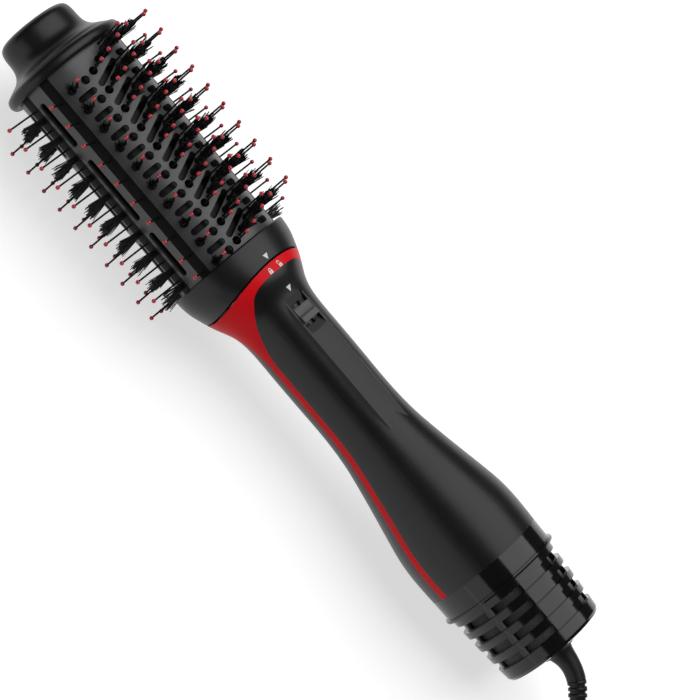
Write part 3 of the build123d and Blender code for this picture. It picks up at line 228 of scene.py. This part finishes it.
def woven_steel(name):
    """Fine woven wire cloth, its wires along and around the air inlet; the gaps between the wires are painted
    near-black as painted shade for the dark inside.
    """
    material, tree, shader, place = new_finish(name)
    parts = add(tree, "ShaderNodeSeparateXYZ", {"Vector": place})
    height = maths(tree, "SUBTRACT", parts.outputs["Z"], AXIS_Z)
    angle = maths(tree, "ARCTAN2", parts.outputs["Y"], height)
    turns = 2 * math.pi * FILTER_RADIUS / WIRE_PITCH
    around = maths(tree, "SINE", maths(tree, "MULTIPLY", angle, round(turns / 2)))
    along = maths(tree, "SINE", maths(tree, "MULTIPLY", parts.outputs["X"],
                                      math.pi / (WIRE_PITCH * MM)))
    weave = maths(tree, "MULTIPLY", around, along)
    wires = maths(tree, "MAXIMUM", maths(tree, "ABSOLUTE", around), maths(tree, "ABSOLUTE", along))
    # gaps between the wires: painted shade, near-black in place of the dark inside seen through real openings
    shaded_holes = add(tree, "ShaderNodeMapRange", {"Value": wires, "From Min": 0.35, "From Max": 0.75})
    tone = mixed(tree, shaded_holes.outputs["Result"], (0.002, 0.002, 0.002, 1), (0.05, 0.05, 0.052, 1))
    bump = add(tree, "ShaderNodeBump", {"Height": weave, "Distance": 0.12 * MM, "Strength": 1.0})
    tree.links.new(tone, shader.inputs["Base Color"])
    tree.links.new(bump.outputs["Normal"], shader.inputs["Normal"])
    shader.inputs["Metallic"].default_value = 0.6
    shader.inputs["Roughness"].default_value = 0.42
    return material


FINISHES = {
    "barrel_grey": ceramic_coat("barrel ceramic coat"),
    "satin_black": moulded("satin black shell", (0.0055, 0.0055, 0.006), 0.34, specular=0.34),
    "gloss_black": moulded("gloss black vent cap", (0.004, 0.004, 0.0045), 0.12, grain=2.0,
                           relief=0.004, specular=0.42),
    "soft_black": moulded("soft black bristle strip", (0.0035, 0.0035, 0.004), 0.6, specular=0.12),
    "pin_black": moulded("black nylon pins", (0.004, 0.004, 0.004), 0.40, specular=0.25),
    "bristle_black": moulded("black nylon bristle", (0.006, 0.005, 0.005), 0.45, grain=0.2,
                             specular=0.35),
    "ball_red": moulded("red ball tips", (0.50, 0.012, 0.028), 0.25, relief=0.004, coat=0.3),
    "trim_red": moulded("red trim", (0.72, 0.006, 0.012), 0.38, grain=0.6, relief=0.005,
                         specular=0.10),
    "switch_grey": moulded("switch grey", (0.055, 0.055, 0.058), 0.45),
    "dark_nylon": moulded("dark nylon", (0.02, 0.02, 0.02), 0.5),
    "mesh_steel": woven_steel("woven filter cloth"),
    "screw_steel": metallic("zinc plated screw", (0.50, 0.50, 0.51), 0.35),
    "mica": moulded("mica board", (0.50, 0.42, 0.29), 0.5, grain=1.2, relief=0.03),
    "heater_alloy": metallic("heating wire", (0.42, 0.38, 0.33), 0.4),
    "board_green": moulded("green circuit board", (0.02, 0.14, 0.06), 0.35),
    "motor_steel": metallic("drawn motor can", (0.55, 0.55, 0.54), 0.3, stretch=(0.1, 1, 1)),
    "ferrite": moulded("ferrite magnet", (0.05, 0.05, 0.055), 0.6, grain=0.2, relief=0.03),
    "rotor_copper": metallic("wound rotor copper", (0.6, 0.27, 0.13), 0.35),
    "blade_brass": metallic("plug blades", (0.62, 0.58, 0.5), 0.28, stretch=(0.15, 1, 1)),
    "cord_black": moulded("black cord rubber", (0.006, 0.006, 0.0065), 0.45, grain=0.5,
                          specular=0.3),
    "plug_black": moulded("black plug housing", (0.011, 0.011, 0.012), 0.42),
    "button_grey": moulded("grey test button", (0.28, 0.28, 0.29), 0.4),
    "button_red": moulded("red reset button", (0.45, 0.02, 0.02), 0.4),
}
PRINT_WHITE = moulded("white pad print", (0.72, 0.72, 0.70), 0.5, relief=0.002)


def dress_solids():
    """Gives each solid node the finish its record slot names."""
    for part in frame["record"]["subparts"]:
        for slot in NODES[part["node"]].material_slots:
            slot.material = FINISHES[part["material_slot"]]


# ---------------------------------------------------------------- places on the barrel
def oval_radii():
    """Radii of the barrel's side and flat arcs."""
    join = math.radians(JOIN_ANGLE)
    difference = (BARREL_SIDE - BARREL_FRONT) / (math.sin(join) + math.cos(join) - 1)
    side = BARREL_FRONT - difference * (1 - math.cos(join))
    return side, side + difference


def outward(psi):
    """Unit vector away from the axis; psi runs from the front towards the right, -Y."""
    angle = math.radians(psi)
    return Vector((0, -math.sin(angle), math.cos(angle)))


def on_barrel(psi, station, height):
    """Point that stands a height off the barrel's face, at a station from the tip."""
    side, flat = oval_radii()
    lean = outward(psi)
    corner = Vector((0, math.copysign(BARREL_SIDE - side, lean.y), 0))
    if min(abs(psi), 180 - abs(psi)) < JOIN_ANGLE:
        corner = Vector((0, 0, math.copysign(flat - BARREL_FRONT, -lean.z)))
        side = flat
    point = corner + lean * (side + height)
    return Vector((TIP_X - station * MM, point.y * MM, AXIS_Z + point.z * MM))


def eased(share):
    """Smooth step from 0 to 1."""
    return share * share * (3 - 2 * share)


def row_station(row, across):
    """Where a slanted row lies, at a place across the face."""
    share = min(max((across + SWEEP_HALF) / (2 * SWEEP_HALF), 0), 1)
    return FIRST_ROW + row * ROW_PITCH - ROW_SWEEP * eased(share)


def face_roots(direction):
    """Roots of the tufts of one flat face, each with the way it points."""
    roots = []
    for row in range(ROWS):
        for across in TUFT_COLUMNS:
            psi = math.degrees(across / oval_radii()[1])
            if direction < 0:
                psi = (180 - psi) if across > 0 else (-180 - psi)
            roots.append((on_barrel(psi, row_station(row, across), TUFT_ROOT), outward(psi)))
    return roots


def side_roots():
    """Roots of the one tuft per row along each side rail."""
    roots = []
    for psi in (-90, 90):
        for row in range(ROWS):
            station = min(FIRST_ROW + row * ROW_PITCH - SIDE_TUFT_SHIFT, LAST_SIDE_TUFT)
            roots.append((on_barrel(psi, station, 0.0), outward(psi)))
    return roots


# ---------------------------------------------------------------- bristles
def new_group(name, sockets):
    """Geometry node group with named inputs, and its input and output nodes."""
    tree = bpy.data.node_groups.new(name, "GeometryNodeTree")
    tree.interface.new_socket("Geometry", in_out="OUTPUT", socket_type="NodeSocketGeometry")
    tree.interface.new_socket("Geometry", in_out="INPUT", socket_type="NodeSocketGeometry")
    for label, kind, value in sockets:
        socket = tree.interface.new_socket(label, in_out="INPUT", socket_type=kind)
        socket.default_value = value
    return tree, add(tree, "NodeGroupInput").outputs, add(tree, "NodeGroupOutput")


def random_value(tree, low, high, seed, step=0):
    """Random number for each element; steps from one seed give independent draws."""
    if step:
        seed = maths(tree, "ADD", seed, step)
    return add(tree, "FunctionNodeRandomValue", {2: low, 3: high, 8: seed},
               data_type="FLOAT").outputs[1]


def scaled(tree, vector, factor):
    return add(tree, "ShaderNodeVectorMath", {0: vector, "Scale": factor},
               operation="SCALE").outputs["Vector"]


def summed(tree, a, b):
    return add(tree, "ShaderNodeVectorMath", {0: a, 1: b}, operation="ADD").outputs["Vector"]


def turned(tree, across, turn):
    """Unit vector at an angle round a root, from +X towards the vector across it."""
    return summed(tree, scaled(tree, (1, 0, 0), maths(tree, "COSINE", turn)),
                  scaled(tree, across, maths(tree, "SINE", turn)))


def bristle_shape(tree, size):
    """One bristle: a slightly bent, tapering filament along Z."""
    line = add(tree, "GeometryNodeCurveQuadraticBezier", {
        "Resolution": 3,
        "Middle": add(tree, "ShaderNodeCombineXYZ", {
            "Z": maths(tree, "MULTIPLY", size["Length"], 0.6)}).outputs[0],
        "Start": (0, 0, 0),
        "End": add(tree, "ShaderNodeCombineXYZ", {
            "X": size["Bend"], "Z": size["Length"]}).outputs[0]})
    along = add(tree, "GeometryNodeSplineParameter").outputs["Factor"]
    taper = maths(tree, "SUBTRACT", 1.0, maths(tree, "MULTIPLY", along, 0.45))
    tapered = add(tree, "GeometryNodeSetCurveRadius", {"Curve": line.outputs["Curve"],
                                                       "Radius": taper})
    ring = add(tree, "GeometryNodeCurvePrimitiveCircle", {"Resolution": 4,
                                                          "Radius": size["Bristle Radius"]})
    return add(tree, "GeometryNodeCurveToMesh", {"Curve": tapered.outputs["Curve"],
                                                 "Profile Curve": ring.outputs["Curve"],
                                                 "Fill Caps": True}).outputs["Mesh"]


def tuft_group():
    """Turns each root point into a bundle of bristles that fans out from its hole."""
    tree, size, end = new_group("bristle tufts", [
        ("Bristles", "NodeSocketInt", 44),
        ("Root Radius", "NodeSocketFloat", 1.45 * MM),
        ("Fan", "NodeSocketFloat", 0.11),
        ("Stray", "NodeSocketFloat", 0.04),
        ("Length", "NodeSocketFloat", (TUFT_PROUD - TUFT_ROOT) * MM),
        ("Bend", "NodeSocketFloat", 0.5 * MM),
        ("Bristle Radius", "NodeSocketFloat", 0.19 * MM),
        ("Seed", "NodeSocketInt", 7),
        ("Material", "NodeSocketMaterial", None)])
    copies = add(tree, "GeometryNodeDuplicateElements", {"Geometry": size["Geometry"],
                                                         "Amount": size["Bristles"]}, domain="POINT")
    way = add(tree, "GeometryNodeInputNamedAttribute", {"Name": "outward"},
              data_type="FLOAT_VECTOR").outputs["Attribute"]
    across = add(tree, "ShaderNodeVectorMath", {0: way, 1: (1, 0, 0)},
                 operation="CROSS_PRODUCT").outputs["Vector"]
    seed, full = size["Seed"], 2 * math.pi
    reach = maths(tree, "SQRT", random_value(tree, 0.0, 1.0, seed, 1))
    aside = scaled(tree, turned(tree, across, random_value(tree, 0.0, full, seed)), reach)
    placed = add(tree, "GeometryNodeSetPosition", {
        "Geometry": copies.outputs["Geometry"],
        "Offset": scaled(tree, aside, size["Root Radius"])})
    stray = turned(tree, across, random_value(tree, 0.0, full, seed, 2))
    stray = scaled(tree, stray, maths(tree, "MULTIPLY", size["Stray"],
                                      random_value(tree, 0.0, 1.0, seed, 3)))
    lean = summed(tree, summed(tree, way, scaled(tree, aside, size["Fan"])), stray)
    spin = add(tree, "ShaderNodeCombineXYZ", {"Z": random_value(tree, 0.0, full, seed, 4)})
    start = add(tree, "FunctionNodeEulerToRotation", {"Euler": spin.outputs[0]})
    aligned = add(tree, "FunctionNodeAlignRotationToVector", {
        "Rotation": start.outputs["Rotation"], "Vector": lean}, axis="Z")
    stretch = add(tree, "ShaderNodeCombineXYZ", {
        "X": 1.0, "Y": 1.0, "Z": random_value(tree, 0.80, 1.0, seed, 5)})
    planted = add(tree, "GeometryNodeInstanceOnPoints", {
        "Points": placed.outputs["Geometry"], "Instance": bristle_shape(tree, size),
        "Rotation": aligned.outputs["Rotation"], "Scale": stretch.outputs[0]})
    real = add(tree, "GeometryNodeRealizeInstances", {"Geometry": planted.outputs["Instances"]})
    smooth = add(tree, "GeometryNodeSetShadeSmooth", {"Geometry": real.outputs["Geometry"]})
    dressed = add(tree, "GeometryNodeSetMaterial", {"Geometry": smooth.outputs["Geometry"],
                                                    "Material": size["Material"]})
    tree.links.new(dressed.outputs["Geometry"], end.inputs["Geometry"])
    return tree


def grown(name, roots, tree, values):
    """Runs a node group on root points and keeps the result as a plain mesh object."""
    mesh = bpy.data.meshes.new(name + " roots")
    mesh.from_pydata([point for point, way in roots], [], [])
    ways = mesh.attributes.new("outward", "FLOAT_VECTOR", "POINT")
    for item, (point, way) in zip(ways.data, roots):
        item.vector = way
    seed_object = placed(name + " roots", mesh)
    modifier = seed_object.modifiers.new("grow", "NODES")
    modifier.node_group = tree
    for socket in tree.interface.items_tree:
        if socket.in_out == "INPUT" and socket.name in values:
            modifier[socket.identifier] = values[socket.name]
    bpy.context.view_layer.update()
    evaluated = seed_object.evaluated_get(bpy.context.evaluated_depsgraph_get())
    result = bpy.data.meshes.new_from_object(evaluated)
    bpy.data.objects.remove(seed_object)
    result.name = name
    return placed(name, result)


def bristles():
    """Grows the bristles of both flat faces and of the sides, in place of their solid bundles."""
    tree = tuft_group()
    nylon = FINISHES["bristle_black"]
    fields = [("front_tufts", face_roots(1), TUFT_ROOT),
              ("back_tufts", face_roots(-1), TUFT_ROOT),
              ("side_tufts", side_roots(), 0.0)]
    for seed, (node, roots, root) in enumerate(fields):
        length = TUFT_PROUD - root
        piece = grown(node.replace("_tufts", "_bristles"), roots, tree,
                      {"Seed": 10 * seed + 7, "Material": nylon, "Length": length * MM})
        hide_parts(node)
        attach(piece, "head")


# ---------------------------------------------------------------- printed marks
ARROW = [[(-1.5, -1.4), (1.5, -1.4), (0.0, 1.5)]]


def arch(width, height, bar, lift, points=10):
    """Outline of a padlock's shackle: two legs and a half-round top."""
    outer, inner = width / 2, width / 2 - bar
    turns = [math.pi * i / points for i in range(points + 1)]
    top = lift - height
    outside = [(outer * math.cos(t), top - outer * math.sin(t)) for t in turns]
    inside = [(inner * math.cos(t), top - inner * math.sin(t)) for t in reversed(turns)]
    return [(outer, lift)] + outside + [(-outer, lift), (-inner, lift)] + inside + [(inner, lift)]


def padlock(shackle_lift, shackle_aside):
    """Padlock outlines: a body with a keyhole slot, and a shut or lifted shackle."""
    body = [(-1.0, 0.0), (1.0, 0.0), (1.0, 1.6), (-1.0, 1.6)]
    keyhole = [(-0.16, 0.45), (-0.16, 1.15), (0.16, 1.15), (0.16, 0.45)]
    shackle = [(x + shackle_aside, y - shackle_lift) for x, y in arch(1.45, 0.6, 0.32, 0.0)]
    return [body, keyhole, shackle]


def finely_divided(mesh):
    """Splits a flat mark into small faces, so that it can follow a curved surface."""
    work = bmesh.new()
    work.from_mesh(mesh)
    bmesh.ops.remove_doubles(work, verts=work.verts, dist=0.001 * MM)
    bmesh.ops.triangulate(work, faces=work.faces)
    bmesh.ops.subdivide_edges(work, edges=work.edges, cuts=4, use_grid_fill=True)
    bmesh.ops.triangulate(work, faces=work.faces)
    work.to_mesh(mesh)
    work.free()


def surface_of(node):
    """A node's mesh, ready for rays to be cast at it."""
    mesh = NODES[node].data
    return BVHTree.FromPolygons([v.co for v in mesh.vertices], [p.vertices for p in mesh.polygons])


def printed(name, node, outlines, psi, station, body):
    """Thin ink mark, laid on a node's outer face round a place on it."""
    curve = bpy.data.curves.new(name, "CURVE")
    curve.dimensions = "2D"
    curve.fill_mode = "BOTH"
    for outline in outlines:
        spline = curve.splines.new("POLY")
        spline.points.add(len(outline) - 1)
        for point, (across, along) in zip(spline.points, outline):
            point.co = (across * MM, along * MM, 0, 1)
        spline.use_cyclic_u = True
    flat = placed(name + " outline", curve)
    bpy.context.view_layer.update()
    mesh = bpy.data.meshes.new_from_object(flat)
    bpy.data.objects.remove(flat)
    finely_divided(mesh)
    tree = surface_of(node)
    normal = outward(psi)
    right = Vector((1, 0, 0)).cross(normal)
    origin = Vector((TIP_X - station * MM, 0, AXIS_Z)) + normal * MARK_REACH * MM
    for vertex in mesh.vertices:
        start = origin + right * -vertex.co.x + Vector((-1, 0, 0)) * vertex.co.y
        vertex.co = tree.ray_cast(start, -normal)[0] + normal * INK * MM
    piece = placed(name, mesh)
    thick = piece.modifiers.new("ink", "SOLIDIFY")
    thick.thickness = 2 * INK * MM
    thick.offset = -1
    mesh.materials.clear()
    mesh.materials.append(PRINT_WHITE)
    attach(piece, body)
    return piece


def marks():
    """Arrows on the collar and by the switch, and the two padlocks of the twist lock."""
    printed("collar_arrow", "collar", ARROW, -3.6, ARROW_STATIONS["collar"], "head")
    printed("switch_arrow", "front_shell", ARROW, -0.5, ARROW_STATIONS["switch"], "handle")
    printed("locked_mark", "red_trim", padlock(0.0, 0.0), -10.5, LOCK_STATION, "handle")
    printed("unlocked_mark", "red_trim", padlock(0.45, 0.5), 3.5, LOCK_STATION, "handle")


# ---------------------------------------------------------------- boot and cord
def boot_directions():
    """Sideways lean of the bend, and the way out of the boot."""
    drop = math.radians(BOOT_DROP)
    lean = Vector((0, math.cos(drop), -math.sin(drop)))
    bend = math.radians(BOOT_BEND)
    return lean, Vector((-math.cos(bend), 0, 0)) + lean * math.sin(bend)


def boot_point(distance):
    """Centre of the boot and its direction, a distance along it from the swivel, in millimetres."""
    lean, out = boot_directions()
    start = Vector((TIP_X / MM - BOOT_START, 0, AXIS_Z / MM))
    if distance <= BOOT_STRAIGHT:
        return start + Vector((-distance, 0, 0)), Vector((-1, 0, 0))
    start.x -= BOOT_STRAIGHT
    arc = BOOT_BEND_RADIUS * math.radians(BOOT_BEND)
    turn = min((distance - BOOT_STRAIGHT) / BOOT_BEND_RADIUS, math.radians(BOOT_BEND))
    way = Vector((-math.cos(turn), 0, 0)) + lean * math.sin(turn)
    point = (start + Vector((-math.sin(turn), 0, 0)) * BOOT_BEND_RADIUS
             + lean * BOOT_BEND_RADIUS * (1 - math.cos(turn)))
    return point + way * max(0, distance - BOOT_STRAIGHT - arc), way


BOOT_LENGTH = BOOT_STRAIGHT + BOOT_BEND_RADIUS * math.radians(BOOT_BEND) + BOOT_TAIL
RIBS_START = BOOT_LENGTH - BOOT_TAIL - RIBS_BEFORE_TAIL


def boot_radius(distance):
    """Outer radius of the boot: a flared foot that soon narrows, then a slow taper."""
    flare = BOOT_FLARE * math.exp(-distance / BOOT_FLARE_FADE)
    return BOOT_NECK + flare + BOOT_TAPER * (1 - distance / BOOT_LENGTH)


def swept(name, stations, sides=32):
    """Round tube along the boot's centre line, closed at both ends."""
    vertices, faces = [], []
    for distance, radius in stations:
        centre, way = boot_point(distance)
        first = way.cross(Vector((0, 0, 1))).normalized()
        second = way.cross(first)
        for i in range(sides):
            angle = 2 * math.pi * i / sides
            vertices.append((centre + (first * math.cos(angle) + second * math.sin(angle))
                             * radius) * MM)
    for ring in range(len(stations) - 1):
        for i in range(sides):
            a, b = ring * sides + i, ring * sides + (i + 1) % sides
            faces.append((a, b, b + sides, a + sides))
    last = (len(stations) - 1) * sides
    faces.append(tuple(reversed(range(sides))))
    faces.append(tuple(range(last, last + sides)))
    mesh = bpy.data.meshes.new(name)
    mesh.from_pydata(vertices, [], faces)
    mesh.validate()
    mesh.update()
    return mesh


def outward_faces(mesh):
    """Points every face of a closed mesh outwards."""
    work = bmesh.new()
    work.from_mesh(mesh)
    bmesh.ops.recalc_face_normals(work, faces=work.faces)
    work.to_mesh(mesh)
    work.free()


def cord_boot():
    """Tapered strain relief that bends out of the swivel and ends in ribs."""
    stations, distance = [], 0.0
    while distance < RIBS_START:
        stations.append((distance, boot_radius(distance)))
        distance += 1.5
    for rib in range(RIBS):
        start = RIBS_START + rib * RIB_PITCH
        stop = start + RIB_WIDTH
        crest = boot_radius(start + 0.5)
        stations += [(start, crest - RIB_EDGE), (start + RIB_ROUND, crest),
                     (stop - RIB_ROUND, crest), (stop, crest - RIB_EDGE),
                     (stop + RIB_CLIMB, RIB_GROOVE),
                     (stop + RIB_PITCH - RIB_WIDTH - RIB_CLIMB, RIB_GROOVE)]
    stations = [s for s in stations if s[0] <= BOOT_LENGTH]
    stations.append((BOOT_LENGTH, RIB_GROOVE))
    mesh = swept("cord_boot", stations)
    outward_faces(mesh)
    mesh.materials.append(FINISHES["cord_black"])
    piece = placed("cord_boot", mesh)
    mesh.shade_smooth()
    mesh.set_sharp_from_angle(angle=math.radians(50))
    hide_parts("strain_relief")
    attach(piece, "swivel")
    return piece


def coil_place(turn):
    """Radius and height of the coil's line: down and in over three turns, up, and out again."""
    whole, part = divmod(turn, 1)
    move = eased(max(0.0, (part - (1 - CROSSOVER)) / CROSSOVER)) * math.pi / 2
    if whole < 2:
        return COIL_OUTER - CORD_DIAMETER * (whole + 1 - math.cos(move)), FLOOR
    inner = COIL_OUTER - 2 * CORD_DIAMETER
    if whole == 2:
        return inner, FLOOR + CORD_DIAMETER * math.sin(move)
    step = math.sqrt(max(0.0, 1 - (1 - math.sin(move)) ** 2))
    return inner + CORD_DIAMETER * min(whole - 3 + step, 2), FLOOR + CORD_DIAMETER


def coil_points():
    """Control points of the wound turns, a little outside the line that they make."""
    share = 0.5 * math.cos(2 * math.pi / POINTS_PER_TURN) + 0.5
    outside = 1 / (0.5 * share + 0.5 * math.cos(math.pi / POINTS_PER_TURN))
    points = []
    for i in range(COIL_TURNS * POINTS_PER_TURN + 1):
        turn = i / POINTS_PER_TURN
        radius, height = coil_place(turn)
        angle = math.pi / 2 + 2 * math.pi * turn
        points.append(COIL_CENTRE + Vector((math.cos(angle), math.sin(angle), 0))
                      * radius * outside + Vector((0, 0, height)))
    return points


def cord_route():
    """Boot, down to the table, six turns of coil and up to the plug's entry."""
    tail = boot_point(BOOT_LENGTH)[0]
    out = boot_directions()[1]
    lead = [tail, tail + out * 17, Vector((-264.0, 38.5, 14.2)), Vector((-281.0, 43.0, 8.2)),
            Vector((-299.0, COIL_CENTRE.y + COIL_OUTER - 0.3, FLOOR))]
    away = [PLUG_ENTRY + Vector((18.0, 0, 0)), PLUG_ENTRY]
    return lead + coil_points() + away


def power_cord(boot):
    """The cord at its real length, in place of its three plain solids."""
    curve = bpy.data.curves.new("power_cord", "CURVE")
    curve.dimensions = "3D"
    curve.bevel_depth = CORD_DIAMETER / 2 * MM
    curve.bevel_resolution = 4
    curve.resolution_u = 6
    curve.use_fill_caps = True
    route = cord_route()
    spline = curve.splines.new("NURBS")
    spline.points.add(len(route) - 1)
    for point, place in zip(spline.points, route):
        point.co = (*(place * MM), 1)
    spline.order_u = 3
    spline.use_endpoint_u = True
    curve.materials.append(FINISHES["cord_black"])
    piece = placed("power_cord", curve)
    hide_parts("cord_lead", "cord_coil", "cord_tail")
    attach(piece, "swivel")


# ---------------------------------------------------------------- stage, light and camera, in metres
VIEW_TURN = math.radians(35.2)          # the camera stands this far round towards +Y
ROLL = math.radians(40.2)               # the brush's tip leans this far left of upright
FOOT_STATION = 183.0                    # station the camera stands over, in millimetres
AIM_STATION = 212.4                     # and the one it looks at
AIM_ASIDE = 16.0
DISTANCE = 1.25
FRAME_WIDTH = 0.329                     # width in view at the brush's axis
BOX_DISTANCE = 1.2
BOX_LENGTH = 1.6
FLOOR_REACH = 6.0
FLOOR_GLOW = 0.62


def toward(turn):
    """Unit vector a turn round from the camera's own side of the axis, positive to its right."""
    angle = VIEW_TURN - turn
    return Vector((0, math.sin(angle), math.cos(angle)))


def camera():
    """Looks down on the brush's front left, with the tip at the upper left."""
    axis = Vector((0, 0, AXIS_Z))
    right0 = toward(math.pi / 2)
    place = axis + Vector((TIP_X - FOOT_STATION * MM, 0, 0)) + toward(0) * DISTANCE
    aim = axis + Vector((TIP_X - AIM_STATION * MM, 0, 0)) + right0 * AIM_ASIDE * MM
    back = (place - aim).normalized()
    up = Vector((math.cos(ROLL), 0, 0)) + right0 * math.sin(ROLL)
    right = up.cross(back).normalized()
    up = back.cross(right)
    data = bpy.data.cameras.new("camera")
    data.sensor_width = 36.0
    data.lens = 36.0 * DISTANCE / FRAME_WIDTH
    data.clip_start = 0.05
    eye = placed("camera", data)
    eye.matrix_world = Matrix.Translation(place) @ Matrix((right, up, back)).transposed().to_4x4()
    bpy.context.scene.camera = eye


def softbox(name, turn, width, radiance):
    """Large even panel facing the brush, turned this many degrees from the camera's side."""
    data = bpy.data.lights.new(name, "AREA")
    data.shape = "RECTANGLE"
    data.size = BOX_LENGTH
    data.size_y = width
    data.energy = radiance * math.pi * width * BOX_LENGTH
    lamp = placed(name, data)
    target = Vector((0, 0, AXIS_Z))
    back = toward(math.radians(turn))
    side = Vector((1, 0, 0))
    lamp.matrix_world = (Matrix.Translation(target + back * BOX_DISTANCE)
                         @ Matrix((side, back.cross(side), back)).transposed().to_4x4())
    lamp.visible_camera = False


def paper_floor():
    """Wide pale floor that stays white round the brush and keeps its shadow."""
    material = bpy.data.materials.new("white paper")
    material.use_nodes = True
    tree = material.node_tree
    shader = tree.nodes["Principled BSDF"]
    place = add(tree, "ShaderNodeTexCoord").outputs["Object"]
    fibre = add(tree, "ShaderNodeTexNoise", {"Vector": place, "Scale": 900.0, "Detail": 3.0})
    tone = mixed(tree, fibre.outputs["Fac"], (0.60, 0.60, 0.60, 1), (0.64, 0.64, 0.64, 1))
    tree.links.new(tone, shader.inputs["Base Color"])
    shader.inputs["Roughness"].default_value = 0.9
    shader.inputs["Specular IOR Level"].default_value = 0.1
    path = add(tree, "ShaderNodeLightPath").outputs
    seen = maths(tree, "MAXIMUM", path["Is Camera Ray"],
                 maths(tree, "MAXIMUM", path["Is Glossy Ray"], path["Is Transmission Ray"]))
    glow = add(tree, "ShaderNodeEmission", {"Color": (1, 1, 1, 1),
                                            "Strength": maths(tree, "MULTIPLY", seen, FLOOR_GLOW)})
    both = add(tree, "ShaderNodeAddShader", {0: shader.outputs["BSDF"], 1: glow.outputs[0]})
    tree.links.new(both.outputs[0], tree.nodes["Material Output"].inputs["Surface"])
    mesh = bpy.data.meshes.new("floor")
    corners = [(x * FLOOR_REACH, y * FLOOR_REACH, 0) for x, y in ((-1, -1), (1, -1), (1, 1), (-1, 1))]
    mesh.from_pydata(corners, [], [(0, 1, 2, 3)])
    mesh.materials.append(material)
    placed("floor", mesh)


def studio():
    """Dim world, a broad light at the right, a weaker one at the left, and the floor."""
    world = bpy.data.worlds.new("studio")
    bpy.context.scene.world = world
    world.use_nodes = True
    tree = world.node_tree
    tree.nodes["Background"].inputs["Color"].default_value = (1, 1, 1, 1)
    tree.nodes["Background"].inputs["Strength"].default_value = 0.06
    softbox("overhead box", turn=55, width=1.5, radiance=2.2)
    softbox("side box", turn=-42, width=0.85, radiance=1.0)
    paper_floor()
    bpy.context.scene.view_settings.view_transform = "Standard"


# ---------------------------------------------------------------- make it
dress_solids()
camera()
studio()
power_cord(cord_boot())
bristles()
marks()
